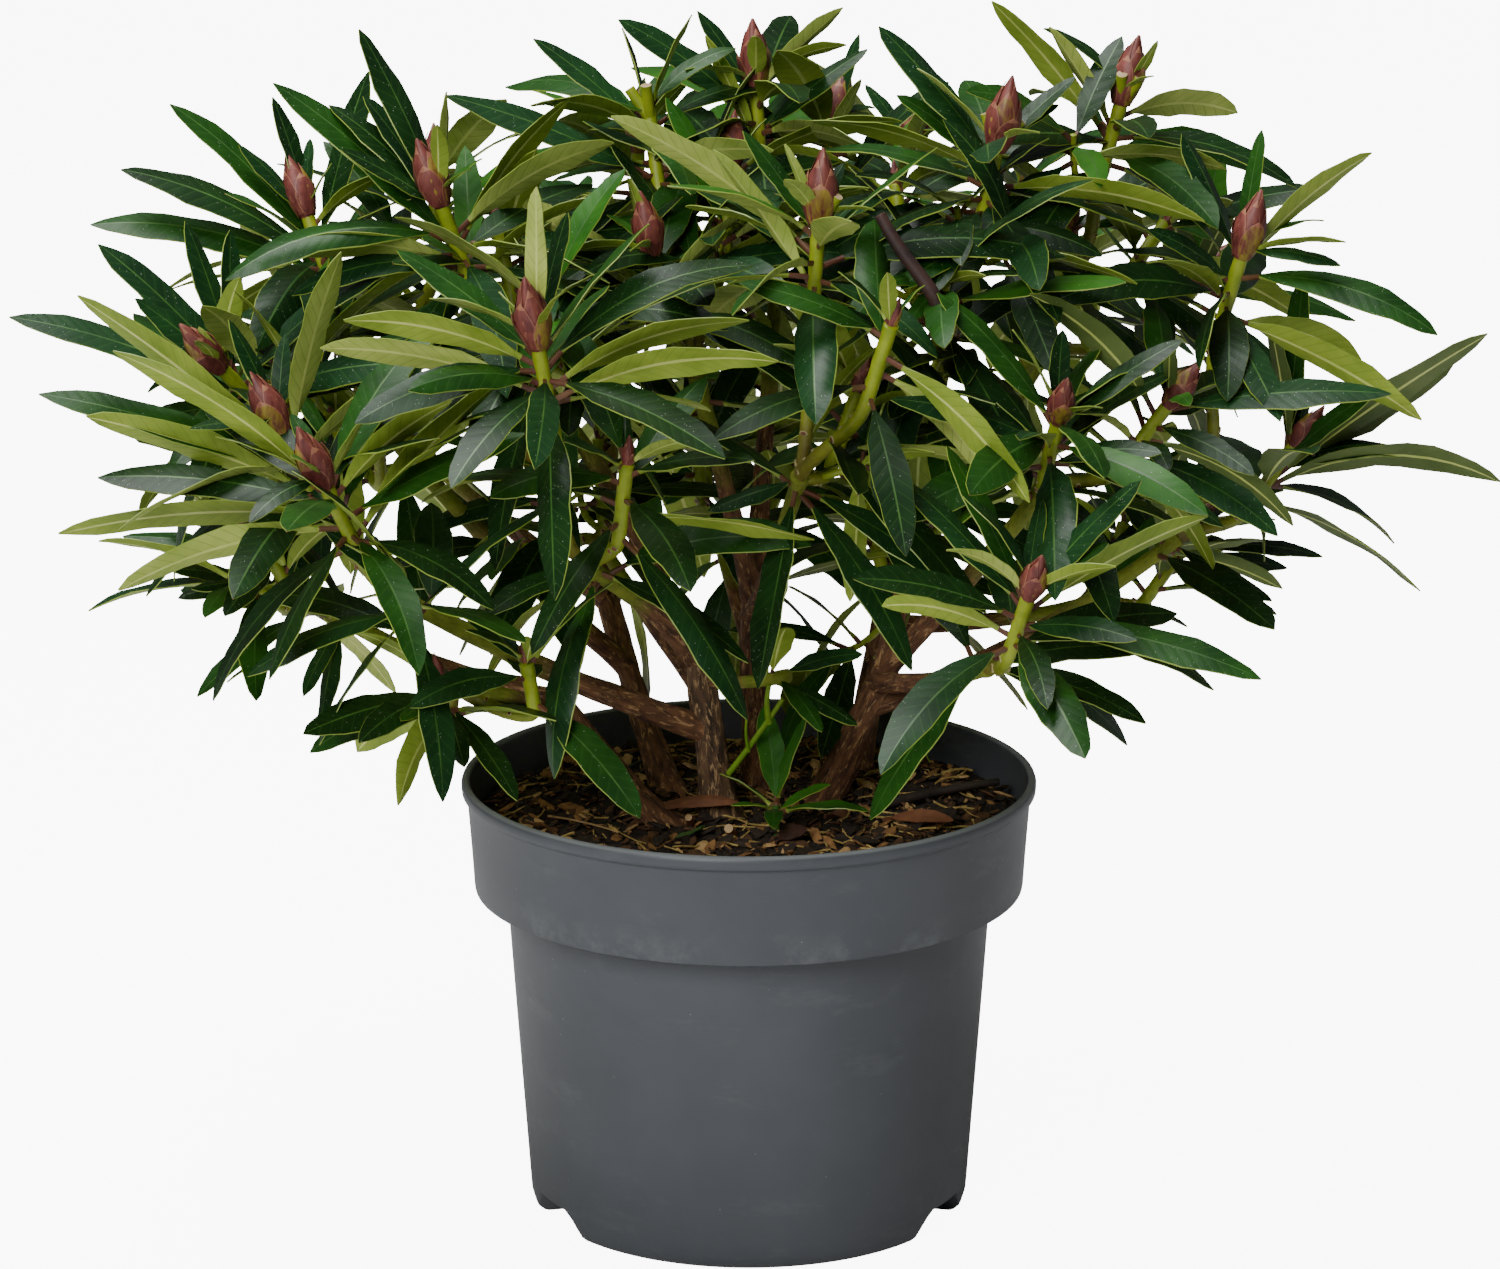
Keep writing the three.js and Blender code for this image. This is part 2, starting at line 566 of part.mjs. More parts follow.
// A leaf's spine is an arc in the upright plane of its bearing. "rise" is the
// angle at the root, and the arc turns down by "fall" over its length.
function spinePoint(leaf, share) {
  const fall = Math.abs(leaf.fall) > 1e-3 ? leaf.fall : 1e-3;
  const angle = leaf.rise - fall * share;
  const reach = (leaf.length / fall) * (Math.sin(leaf.rise) - Math.sin(angle));
  const climb = (leaf.length / fall) * (Math.cos(angle) - Math.cos(leaf.rise));
  return leaf.root.clone().add(new THREE.Vector3(
    reach * Math.cos(leaf.bearing), reach * Math.sin(leaf.bearing), climb));
}

// A leaf from one share of its length to its tip, as two folded faces above and
// a straight keel beneath. "fat" adds clear space all round.
function leafShape(leaf, from, fat) {
  const root = spinePoint(leaf, from);
  const tip = spinePoint(leaf, 1);
  const middle = spinePoint(leaf, mix(from, 1, leafForm.widest));
  const angle = leaf.rise - leaf.fall * leafForm.widest;
  const [climb, level] = [Math.sin(angle), Math.cos(angle)];
  const [east, north] = [Math.cos(leaf.bearing), Math.sin(leaf.bearing)];
  const normal = new THREE.Vector3(-climb * east, -climb * north, level);
  const side = new THREE.Vector3(-north, east, 0);
  const across = side.clone().multiplyScalar(Math.cos(leaf.roll))
    .addScaledVector(normal, Math.sin(leaf.roll));
  const up = normal.clone().multiplyScalar(Math.cos(leaf.roll)).addScaledVector(side, -Math.sin(leaf.roll));
  const halfWidth = (leaf.length * leafForm.widthShare) / 2 + fat;
  const keelDepth = middle.clone().sub(mixed(root, tip, leafForm.widest)).dot(up);
  middle.addScaledVector(up, Math.max(0, leafForm.thickness - keelDepth) + fat);
  const points = [
    root.addScaledVector(up, -fat),
    middle.clone().addScaledVector(across, halfWidth),
    middle.clone().addScaledVector(across, -halfWidth),
    tip.addScaledVector(up, -fat),
  ];
  const geometry = new THREE.BufferGeometry().setFromPoints(points);
  geometry.setIndex([0, 2, 1, 3, 1, 2, 0, 3, 2, 0, 1, 3]);
  return toSolid(geometry);
}

// Two level directions square to a shoot's axis.
function crossFrame(axis) {
  const reference = Math.abs(axis.y) < 0.95 ? new THREE.Vector3(0, 1, 0.01) : new THREE.Vector3(1, 0, 0);
  const first = new THREE.Vector3().crossVectors(axis, reference).normalize();
  return [first, new THREE.Vector3().crossVectors(axis, first)];
}

// A leaf turned up until its tip clears the crown's lower edge.
function aboveSkirt(leaf) {
  const tip = spinePoint(leaf, 1);
  const lowest = skirt.level + skirt.slope * Math.max(0, Math.hypot(tip.x, tip.y) - skirt.within);
  const lift = Math.asin(THREE.MathUtils.clamp((lowest - tip.z) / leaf.length, 0, 1));
  return { ...leaf, rise: leaf.rise + lift };
}

// The leaves of one whorl by rule: a golden-angle spiral up the last part of
// the shoot, wide and long at the foot, steep and shorter at the top.
function leavesByRule(mass, shoot, tip, axis, count, span, raise, size) {
  const [first, second] = crossFrame(axis);
  const turn = 360 * chance(mass, shoot, 7, 7);
  return Array.from({ length: count }, (_, i) => {
    const share = i / Math.max(1, count - 1);
    const around = radians(turn + i * goldenAngle + 24 * (chance(mass, shoot, i, 1) - 0.5));
    const pitch = radians(mix(ruleLeaf.lowPitch - raise, ruleLeaf.highPitch, share ** 0.9)
      + 18 * (chance(mass, shoot, i, 2) - 0.5));
    const heading = axis.clone().multiplyScalar(Math.cos(pitch))
      .addScaledVector(first, Math.cos(around) * Math.sin(pitch))
      .addScaledVector(second, Math.sin(around) * Math.sin(pitch));
    const rise = Math.asin(THREE.MathUtils.clamp(heading.z, -1, 1));
    const fall = radians(ruleLeaf.fall[0] + ruleLeaf.fall[1] * chance(mass, shoot, i, 4));
    return aboveSkirt({
      root: tip.clone().addScaledVector(axis, -3 - span * (1 - share)),
      bearing: Math.atan2(heading.y, heading.x),
      rise,
      fall: Math.min(fall, Math.max(0.1, rise + Math.PI / 2)),
      length: size * ruleLeaf.length * (0.84 + 0.26 * chance(mass, shoot, i, 3)) * (1 - 0.14 * share),
      roll: radians(ruleLeaf.roll * (chance(mass, shoot, i, 5) - 0.5)),
    });
  });
}

function placedLeaf(root, [bearing, rise, length, fall, roll]) {
  return {
    root,
    bearing: radians(bearing),
    rise: radians(rise + fall / 2),
    fall: radians(fall),
    length,
    roll: radians(roll),
    placed: true,
  };
}

const directionOf = (leaf) => spinePoint(leaf, 1).sub(leaf.root).normalize();

// All the leaves of a whorl: the placed ones first, lowest first, then leaves
// by rule where no placed leaf already points, up to the whorl's count.
function whorl(mass, shoot, tip, axis, count, placed, span, raise = 0, size = 1) {
  const leaves = placed.map((row, i) => {
    const share = (i + 0.5) / placed.length;
    return placedLeaf(tip.clone().addScaledVector(axis, -3 - span * (1 - share)), row);
  });
  const taken = leaves.map(directionOf);
  const limit = Math.cos(radians(ruleLeaf.apart));
  for (const leaf of leavesByRule(mass, shoot, tip, axis, count, span, raise, size)) {
    const heading = directionOf(leaf);
    if (leaves.length < count && taken.every((other) => other.dot(heading) < limit)) {
      leaves.push(leaf);
    }
  }
  return leaves;
}

// A pointed flower bud that stands on the end of its shoot.
function budShape(foot, axis, length) {
  const [first, second] = crossFrame(axis);
  const profile = [[-0.05, 0.13], [0.36, 0.25], [0.68, 0.17], [1, 0.015]];
  const rings = profile.map(([along, radius]) => Array.from({ length: 4 }, (_, s) => {
    const angle = (Math.PI * s) / 2;
    return foot.clone().addScaledVector(axis, along * length)
      .addScaledVector(first, radius * length * Math.cos(angle))
      .addScaledVector(second, radius * length * Math.sin(angle));
  }));
  return toSolid(skinOver(rings));
}

// The stub of a pruned shoot, beside the bud or in its place.
function stubShape(mass, number, tip, axis) {
  const [first, second] = crossFrame(axis);
  const around = 2 * Math.PI * (number / 3 + chance(mass, number, 5, 3));
  const heading = axis.clone()
    .addScaledVector(first, 0.55 * Math.cos(around))
    .addScaledVector(second, 0.55 * Math.sin(around))
    .normalize();
  const foot = tip.clone().addScaledVector(axis, -5);
  const curve = new THREE.LineCurve3(foot, foot.clone().addScaledVector(heading, 17));
  return toSolid(taperedTube(curve, () => 2.6, 4, 1));
}

// A shoot points halfway between the line from its neck and nearly upright.
// A flat shoot, whose tip is close to the neck, is nearly upright.
function shootAxis(neck, tip, flat) {
  const upright = new THREE.Vector3(tip.x * twigForm.lean, tip.y * twigForm.lean, 1).normalize();
  return flat ? upright : tip.clone().sub(neck).normalize().add(upright).normalize();
}

// The neck and shoots of a mass, as closed tubes, and the leaves they carry.
function growMass(mass, number) {
  const bough = limbCurves[mass.bough];
  const along = bough.getTangent(1);
  const boughRadius = limbs.find((limb) => limb.name === mass.bough).radii[1];
  const foot = bough.getPoint(1).addScaledVector(along, gap);
  const neck = foot.clone().addScaledVector(along, twigForm.neck);
  const wood = [toSolid(taperedTube(new THREE.LineCurve3(foot, neck), () => boughRadius, 6, 1))];
  const collarPlaced = mass.collarPlaced ?? [];
  const leaves = whorl(number, 9, neck, along, mass.collar + collarPlaced.length, collarPlaced,
    twigForm.collarSpan, mass.raise, mass.size);
  mass.shoots.forEach((shoot, i) => {
    const tip = vec(shoot.tip);
    const axis = shootAxis(neck, tip, shoot.flat);
    const start = neck.clone().addScaledVector(along, -twigForm.overlap - 1.3 * i);
    const span = shoot.flat ? twigForm.flatSpan : twigForm.leafySpan;
    const straight = tip.clone().addScaledVector(axis, -span - 5);
    const reach = straight.distanceTo(neck);
    const curve = new THREE.CurvePath();
    curve.add(new THREE.CubicBezierCurve3(
      start,
      neck.clone().addScaledVector(along, 0.36 * reach),
      straight.clone().addScaledVector(axis, -0.36 * reach),
      straight,
    ));
    curve.add(new THREE.LineCurve3(straight, tip));
    const radiusAt = (share) => mix(twigForm.startRadius, twigForm.radius, Math.min(1, 3 * share));
    wood.push(toSolid(taperedTube(curve, radiusAt, twigForm.sides, twigForm.steps)));
    if (shoot.bud) {
      wood.push(budShape(tip, axis, shoot.bud));
    }
    for (let stub = 0; stub < (shoot.stubs ?? 0); stub += 1) {
      wood.push(stubShape(number, stub, tip, axis));
    }
    leaves.push(...whorl(number, i + 1, tip, axis, shoot.leaves, shoot.placed ?? [], span,
      mass.raise, mass.size));
  });
  return { name: mass.name, wood, leaves };
}

function growSprout() {
  const foot = vec([...sprout.foot, soil.top + gap]);
  const top = foot.clone().add(vec([0, 0, sprout.height]));
  const up = new THREE.Vector3(0, 0, 1);
  const wood = [toSolid(taperedTube(new THREE.LineCurve3(foot, top), () => sprout.radius, 5, 1))];
  const leaves = sprout.leaves
    .map((row, i) => placedLeaf(top.clone().addScaledVector(up, -1 - 0.5 * i), row));
  return { name: "sprout", wood, leaves };
}

// --------------------------------------------------- keeping masses apart

function boxesMeet(a, b) {
  return [0, 1, 2].every((k) => a.min[k] < b.max[k] && b.min[k] < a.max[k]);
}

function touches(solid, others) {
  const box = solid.boundingBox();
  return others.some((other) => boxesMeet(box, other.box) && !solid.intersect(other.solid).isEmpty());
}

const boxed = (solid) => ({ solid, box: solid.boundingBox() });

// Each mass keeps a leaf only if the leaf, with clear space round it, meets no
// limb, pot or soil and no other mass. Leaves by rule also keep their blades
// off the shoots and blades of their own mass. Placed leaves choose first.
function joinFoliage(grown, fixed) {
  const wood = grown.map((mass) => mass.wood.map(boxed));
  const kept = grown.map(() => []);
  const blades = grown.map(() => []);
  const rootShare = (leaf) => -leafForm.sunk / leaf.length;
  const isFree = (leaf, m) => {
    const whole = leafShape(leaf, rootShare(leaf), 0.4);
    const blade = leafShape(leaf, leafForm.petioleShare, 0.3);
    const strangers = [wood, kept].flatMap((lists) => lists.flatMap((list, k) => (k === m ? [] : list)));
    const inOwnWay = !leaf.placed && (touches(blade, wood[m]) || touches(blade, blades[m]));
    return !inOwnWay && !touches(whole, fixed) && !touches(whole, strangers);
  };
  for (const turnOfPlaced of [true, false]) {
    grown.forEach((mass, m) => {
      for (const leaf of mass.leaves.filter((one) => Boolean(one.placed) === turnOfPlaced)) {
        const trimmed = ruleLeaf.trims
          .map((trim) => ({ ...leaf, length: leaf.length * trim }))
          .find((one) => isFree(one, m));
        if (trimmed) {
          kept[m].push(boxed(leafShape(trimmed, rootShare(trimmed), 0)));
          blades[m].push(boxed(leafShape(trimmed, leafForm.petioleShare, 0)));
        }
      }
    });
  }
  return grown.map((mass, m) => ({
    name: mass.name,
    solid: mainBody([...wood[m], ...kept[m]].map((one) => one.solid).reduce((sum, one) => sum.add(one))),
  }));
}

// -------------------------------------------------------------- the plant

function named(name, solid, [color, roughness]) {
  const mesh = new THREE.Mesh(toGeometry(solid), finish(color, roughness));
  mesh.name = name;
  return mesh;
}

const plant = new THREE.Group();
const potSolid = makePot();
const soilSolid = makeSoil();
plant.add(named("pot", potSolid, colours.pot));
plant.add(named("soil", soilSolid, colours.soil));

const limbSolids = makeLimbs();
for (const [name, { solid }] of Object.entries(limbSolids)) {
  plant.add(named(name, solid, colours.bark));
}

const fixed = [potSolid, soilSolid, ...Object.values(limbSolids).map(({ solid }) => solid)].map(boxed);
const grown = [growSprout(), ...masses.map((mass, i) => growMass(mass, i + 1))];
for (const { name, solid } of joinFoliage(grown, fixed)) {
  plant.add(named(name, solid, colours.foliage));
}

export default plant;
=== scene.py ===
import math

import bpy
import numpy as np
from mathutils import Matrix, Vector


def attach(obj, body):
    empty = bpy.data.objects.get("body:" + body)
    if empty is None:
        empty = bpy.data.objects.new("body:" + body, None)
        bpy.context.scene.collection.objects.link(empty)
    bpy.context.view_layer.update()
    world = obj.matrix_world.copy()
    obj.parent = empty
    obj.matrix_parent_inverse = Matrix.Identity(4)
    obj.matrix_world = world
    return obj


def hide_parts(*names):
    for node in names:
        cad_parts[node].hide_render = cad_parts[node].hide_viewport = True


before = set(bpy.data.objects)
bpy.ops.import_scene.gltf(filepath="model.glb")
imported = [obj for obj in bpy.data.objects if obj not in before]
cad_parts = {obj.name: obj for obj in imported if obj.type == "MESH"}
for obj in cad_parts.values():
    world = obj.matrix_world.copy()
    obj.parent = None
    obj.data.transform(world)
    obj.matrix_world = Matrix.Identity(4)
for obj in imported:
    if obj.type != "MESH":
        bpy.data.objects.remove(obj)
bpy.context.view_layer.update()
mm = 0.001

# The plant is drawn in millimetres and degrees by the same rule as its solids: six stems, their boughs,
# and one spray of foliage at the tip of each bough.

limbs = [  # name, parent, share along it or (x, y) on the soil, end, middle lift, radii at both ends (mm)
    ("stem_main", None, (-12, -17), (-22, -25, 262), 0, (9.5, 7.5)),
    ("stem_left", None, (-34, -24), (-84, -40, 247), -5, (8, 6)),
    ("stem_centre", None, (4, 30), (2, 24, 280), 0, (8, 6.5)),
    ("stem_right", None, (30, 10), (62, 2, 252), -4, (8.5, 6.5)),
    ("stem_back_right", None, (48, 58), (66, 96, 268), -4, (7.5, 6)),
    ("stem_back_left", None, (-34, 18), (-66, 84, 262), -4, (7.5, 6)),
    ("bough_front_left", "stem_main", 1, (-62, -74, 312), 6, (5.2, 4)),
    ("bough_left", "stem_main", 0.6, (-138, -82, 298), -6, (6, 4.2)),
    ("bough_upper_left", "stem_main", 1, (-92, -6, 384), 14, (5, 4)),
    ("bough_low_centre", "stem_main", 0.9, (6, -44, 258), -3, (3, 2.6)),
    ("bough_low_left", "stem_left", 1, (-176, -4, 272), -8, (5, 3.8)),
    ("bough_low_front", "stem_left", 0.85, (-118, -74, 262), 4, (4, 3.6)),
    ("bough_inner_left", "stem_main", 0.8, (-62, 36, 292), -3, (3.8, 3.2)),
    ("bough_inner_back", "stem_centre", 0.7, (-14, 84, 290), -4, (3.8, 3.2)),
    ("bough_inner_right", "stem_right", 0.8, (74, 54, 272), -4, (3.8, 3.2)),
    ("bough_far_left", "stem_back_left", 0.7, (-158, 22, 350), -8, (5, 4)),
    ("bough_mid", "stem_centre", 1, (-20, 6, 372), 0, (5, 4)),
    ("bough_front_mid", "stem_centre", 0.9, (20, -58, 346), -6, (5, 4)),
    ("bough_top_back", "stem_centre", 1, (12, 92, 404), -6, (5, 4)),
    ("bough_upper_right", "stem_right", 1, (86, 4, 386), 0, (5, 4)),
    ("bough_right", "stem_right", 1, (122, -52, 338), -4, (5, 4)),
    ("bough_low_right", "stem_right", 0.9, (98, -96, 276), -4, (4.8, 3.8)),
    ("bough_far_right", "stem_right", 0.75, (182, 14, 300), -14, (5, 3.8)),
    ("bough_top_right", "stem_back_right", 1, (142, 52, 410), -6, (5, 4)),
    ("bough_low_back_right", "stem_back_right", 0.8, (150, 70, 262), -6, (4.6, 3.6)),
    ("bough_back_right", "stem_back_right", 1, (132, 158, 350), -6, (5, 3.8)),
    ("bough_back", "stem_back_right", 1, (34, 186, 356), -6, (5, 3.8)),
    ("bough_back_left", "stem_back_left", 1, (-66, 178, 352), -6, (5, 3.8)),
    ("bough_left_back", "stem_back_left", 1, (-160, 122, 330), -6, (5, 3.8)),
]

masses = [
    dict(name="foliage_front_left", bough="bough_front_left", collar=2,
         collarPlaced=[(-121, -60, 96, 60, 20), (-113, -57, 62, 50, 25), (-145, -12, 60, 40, -20),
                       (-18, -26, 80, 24, 15)],
         shoots=[dict(tip=(-89, -140, 433), leaves=17, bud=32,
                      placed=[(-88, -46, 96, 50, 45), (-20, 14, 108, 36, -45), (175, 11, 100, 30, 45),
                              (-10, 21, 94, 40, -40), (-143, 6, 72, 40, -35), (-29, -15, 92, 26, 20),
                              (15, 25, 104, 56, 20), (-170, 16, 88, 34, 45), (163, 35, 78, 20, -15),
                              (29, 45, 74, 16, -20), (-99, 80, 74, 20, -40), (64, 67, 58, 10, -25)]),
                 dict(tip=(-52, -112, 372), leaves=8)]),
    dict(name="foliage_left_front", bough="bough_left", collar=3, raised=10,
         shoots=[dict(tip=(-181, -125, 369), leaves=14, bud=30,
                      placed=[(7, 47, 92, 20, -45), (-61, -28, 92, 44, 0), (-162, -12, 102, 34, 50),
                              (-1, 27, 88, 16, 30), (-179, -3, 120, 20, 45), (178, 6, 104, 24, -25),
                              (-11, 41, 72, 30, -35), (-170, 36, 112, 26, 40), (7, 62, 34, 14, -40)]),
                 dict(tip=(-202, -90, 384), leaves=12, bud=30,
                      placed=[(-168, 21, 104, 16, 45), (-177, 19, 122, 20, -25), (178, 39, 122, 10, 45),
                              (3, 37, 64, 20, -40), (18, 74, 88, 16, -50), (-173, 66, 56, 10, -35)]),
                 dict(tip=(-146, -124, 318), leaves=5)]),
    dict(name="foliage_upper_left", bough="bough_upper_left", collar=3,
         shoots=[dict(tip=(-136, -20, 471), leaves=15, bud=30,
                      placed=[(-163, -6, 80, 50, -25), (-169, 4, 88, 40, 45), (169, 42, 112, 20, -20),
                              (31, 49, 84, 30, -60), (-167, -6, 108, 60, -25), (14, 28, 84, 40, -50),
                              (156, 51, 72, 20, -10), (162, 41, 76, 30, -15), (151, 60, 92, 16, -5),
                              (-168, 33, 54, 16, -35), (71, 74, 50, 10, -90)]),
                 dict(tip=(-86, -44, 432), leaves=7),
                 dict(tip=(-112, 34, 446), leaves=8)]),
    dict(name="foliage_low_left", bough="bough_low_left", collar=2, raised=42, size=0.68,
         collarPlaced=[(-143, -12, 36, 14, 15), (-119, -35, 46, 20, 5), (-96, -46, 58, 20, 35)],
         shoots=[dict(tip=(-238, 50, 303), leaves=10, bud=20,
                      placed=[(-144, -3, 44, 20, -25), (172, 5, 56, 14, -25)]),
                 dict(tip=(-220, -24, 322), leaves=10, bud=18,
                      placed=[(-154, 4, 46, 20, -25), (-107, -13, 52, 30, -15), (-69, -3, 32, 10, -90)])]),
    dict(name="foliage_low_front", bough="bough_low_front", collar=0, size=0.75,
         shoots=[dict(tip=(-134, -84, 268), leaves=9, flat=True,
                      placed=[(-105, -10, 88, 50, 90), (132, -25, 78, 40, 55), (-82, -16, 48, 30, 0),
                              (-53, -30, 62, 20, 0), (-117, -2, 70, 40, -35), (-136, -2, 78, 20, -30),
                              (-106, -2, 46, 16, -15)]),
                 dict(tip=(-96, -104, 282), leaves=3, flat=True)]),
    dict(name="foliage_low_centre", bough="bough_low_centre", collar=0,
         collarPlaced=[(-25, -22, 46, 24, 20), (-78, 38, 58, 40, 0), (-60, -20, 44, 30, 10),
                       (20, 10, 40, 30, 30)],
         shoots=[]),
    dict(name="foliage_inner_left", bough="bough_inner_left", collar=2, size=0.85,
         shoots=[dict(tip=(-68, 50, 346), leaves=8),
                 dict(tip=(-98, 16, 342), leaves=7)]),
    dict(name="foliage_inner_back", bough="bough_inner_back", collar=2, size=0.85,
         shoots=[dict(tip=(-26, 96, 346), leaves=7),
                 dict(tip=(20, 98, 322), leaves=7)]),
    dict(name="foliage_inner_right", bough="bough_inner_right", collar=2, size=0.85,
         shoots=[dict(tip=(92, 66, 326), leaves=8),
                 dict(tip=(52, 66, 312), leaves=6)]),
    dict(name="foliage_far_left", bough="bough_far_left", collar=3,
         shoots=[dict(tip=(-233, -40, 401), leaves=13, bud=28,
                      placed=[(-160, -3, 62, 40, -25), (-167, 22, 116, 24, -30), (162, 43, 96, 16, -15),
                              (-169, 43, 64, 14, -35), (135, 65, 76, 14, 10), (96, 67, 66, 10, 50),
                              (-48, 84, 32, 8, 15)]),
                 dict(tip=(-200, 50, 453), leaves=12, bud=28,
                      placed=[(-167, 15, 112, 40, -30), (-168, 28, 104, 34, -30),
                              (165, 45, 98, 24, -15), (49, 66, 84, 12, -5), (136, 64, 68, 16, 10),
                              (-19, 35, 52, 40, -30), (-178, 48, 46, 16, -30)]),
                 dict(tip=(-206, 26, 378), leaves=6)]),
    dict(name="foliage_mid", bough="bough_mid", collar=2,
         shoots=[dict(tip=(-43, -10, 447), leaves=11, bud=28,
                      placed=[(164, 33, 88, 24, 50), (22, 41, 52, 30, -55), (-170, 18, 64, 30, -30),
                              (-166, 72, 40, 8, 25)]),
                 dict(tip=(-45, 60, 496), leaves=13, stubs=3,
                      placed=[(-171, 23, 104, 16, -30), (-33, 10, 64, 26, -45), (160, 39, 72, 16, -15),
                              (133, 66, 46, 8, 40)]),
                 dict(tip=(-8, 62, 472), leaves=7, bud=26)]),
    dict(name="foliage_front_mid", bough="bough_front_mid", collar=3,
         collarPlaced=[(-41, -44, 98, 24, 0), (-20, -30, 100, 24, 15), (-107, -65, 92, 30, 35),
                       (-146, -10, 46, 16, -25)],
         shoots=[dict(tip=(30, -80, 474), leaves=14, bud=32, stubs=1,
                      placed=[(-175, 55, 76, 10, 35), (-30, -24, 68, 40, 15), (14, 1, 112, 44, 30),
                              (165, 33, 108, 24, 50), (20, 37, 68, 16, -15), (153, 51, 56, 10, -10),
                              (-166, 67, 40, 10, 25)]),
                 dict(tip=(60, -120, 434), leaves=6,
                      placed=[(-156, -12, 78, 36, -20), (20, -45, 78, 34, -30), (-30, -37, 92, 30, -60),
                              (-172, 22, 68, 24, -30)]),
                 dict(tip=(48, -52, 392), leaves=7, bud=18)]),
    dict(name="foliage_top_back", bough="bough_top_back", collar=2,
         shoots=[dict(tip=(3, 90, 505), leaves=13, bud=30,
                      placed=[(-171, 65, 60, 10, 30), (16, 37, 64, 16, 20), (-175, 37, 80, 20, -35),
                              (145, 54, 52, 12, -5), (-10, 45, 56, 12, -35)]),
                 dict(tip=(40, 136, 480), leaves=9, bud=28,
                      placed=[(-173, 46, 68, 16, 35), (-43, 62, 44, 16, -5), (53, 69, 48, 10, -15)]),
                 dict(tip=(-36, 120, 450), leaves=8)]),
    dict(name="foliage_upper_right", bough="bough_upper_right", collar=3,
         shoots=[dict(tip=(109, -20, 496), leaves=13, bud=32, stubs=2,
                      placed=[(-107, -19, 76, 50, 0), (-71, -29, 86, 40, 0), (-14, -6, 98, 30, -45),
                              (159, 36, 56, 30, -20), (156, 45, 80, 16, -15), (24, 40, 48, 10, 15)]),
                 dict(tip=(84, -58, 440), leaves=8),
                 dict(tip=(66, 44, 464), leaves=8)]),
    dict(name="foliage_right", bough="bough_right", collar=3, raised=8,
         shoots=[dict(tip=(132, -110, 393), leaves=14, bud=24,
                      placed=[(-28, 13, 56, 36, 35), (-102, 16, 60, 36, 0), (15, 31, 68, 20, 20)]),
                 dict(tip=(184, -60, 389), leaves=13, bud=24,
                      placed=[(-36, -17, 82, 36, 20), (-71, -6, 40, 40, 20), (-44, -12, 60, 30, 25),
                              (-13, 7, 100, 20, 25)])]),
    dict(name="foliage_low_right", bough="bough_low_right", collar=1,
         collarPlaced=[(-148, -50, 80, 30, 0), (23, -30, 84, 50, 45), (8, 6, 74, 30, 20),
                       (-19, -13, 76, 30, 20)],
         shoots=[dict(tip=(118, -165, 330), leaves=15, bud=24,
                      placed=[(-135, -23, 96, 40, -10), (-72, -20, 86, 30, 10), (146, 4, 68, 40, 60),
                              (-75, -16, 62, 36, 5), (-39, 5, 62, 30, 35), (-20, -7, 108, 24, 20),
                              (-156, 19, 86, 24, -35), (10, 26, 90, 20, -50), (140, 38, 80, 16, -5),
                              (139, 56, 76, 12, 0), (-4, 49, 72, 14, 30), (81, 51, 46, 10, -40)])]),
    dict(name="foliage_far_right", bough="bough_far_right", collar=4, raised=28,
         collarPlaced=[(2, -18, 60, 30, -45), (-24, -23, 54, 10, 15)],
         shoots=[dict(tip=(218, -10, 446), leaves=14, bud=30,
                      placed=[(-80, -20, 84, 40, 0), (-22, -24, 100, 20, -50), (-91, -24, 72, 50, 0),
                              (-152, 4, 92, 50, -35), (-109, -16, 74, 50, 50), (-160, 34, 50, 30, -50),
                              (-22, -10, 98, 44, 25), (16, 40, 80, 26, -55), (140, 59, 64, 16, 0),
                              (56, 68, 58, 20, -20)]),
                 dict(tip=(248, 30, 350), leaves=13, bud=22,
                      placed=[(-85, -13, 60, 40, -90), (2, 3, 116, 64, -45), (1, 35, 122, 10, -45),
                              (6, 10, 68, 60, 25), (7, 30, 96, 10, -50), (-21, 41, 60, 10, 40),
                              (65, 70, 84, 10, -30), (159, 78, 60, 10, 50)])]),
    dict(name="foliage_top_right", bough="bough_top_right", collar=3,
         shoots=[dict(tip=(167, 40, 506), leaves=13, bud=30, stubs=2,
                      placed=[(-166, 18, 98, 30, -35), (26, -10, 86, 56, 40), (-178, 50, 84, 16, 35),
                              (-177, 58, 56, 10, 35), (38, -3, 70, 40, -55), (-21, 60, 36, 10, -25)]),
                 dict(tip=(146, 100, 436), leaves=7, bud=22),
                 dict(tip=(190, 80, 440), leaves=8,
                      placed=[(-80, -32, 58, 16, -5)])]),
    dict(name="foliage_low_back_right", bough="bough_low_back_right", collar=4, raised=40, size=0.8,
         shoots=[dict(tip=(206, 76, 296), leaves=12, bud=20),
                 dict(tip=(176, 116, 290), leaves=10)]),
    dict(name="foliage_back_right", bough="bough_back_right", collar=3,
         shoots=[dict(tip=(150, 212, 400), leaves=11, bud=28),
                 dict(tip=(212, 146, 400), leaves=10, bud=28),
                 dict(tip=(128, 150, 446), leaves=7)]),
    dict(name="foliage_back", bough="bough_back", collar=3,
         shoots=[dict(tip=(44, 246, 400), leaves=10, bud=30),
                 dict(tip=(76, 184, 458), leaves=9, bud=28),
                 dict(tip=(4, 222, 336), leaves=8)]),
    dict(name="foliage_back_left", bough="bough_back_left", collar=3,
         shoots=[dict(tip=(-92, 232, 396), leaves=10, bud=30),
                 dict(tip=(-52, 168, 462), leaves=10, bud=28),
                 dict(tip=(-40, 232, 336), leaves=8)]),
    dict(name="foliage_left_back", bough="bough_left_back", collar=3, raised=24,
         shoots=[dict(tip=(-212, 150, 380), leaves=10, bud=28),
                 dict(tip=(-146, 130, 452), leaves=10, bud=28),
                 dict(tip=(-196, 176, 318), leaves=7)]),
]

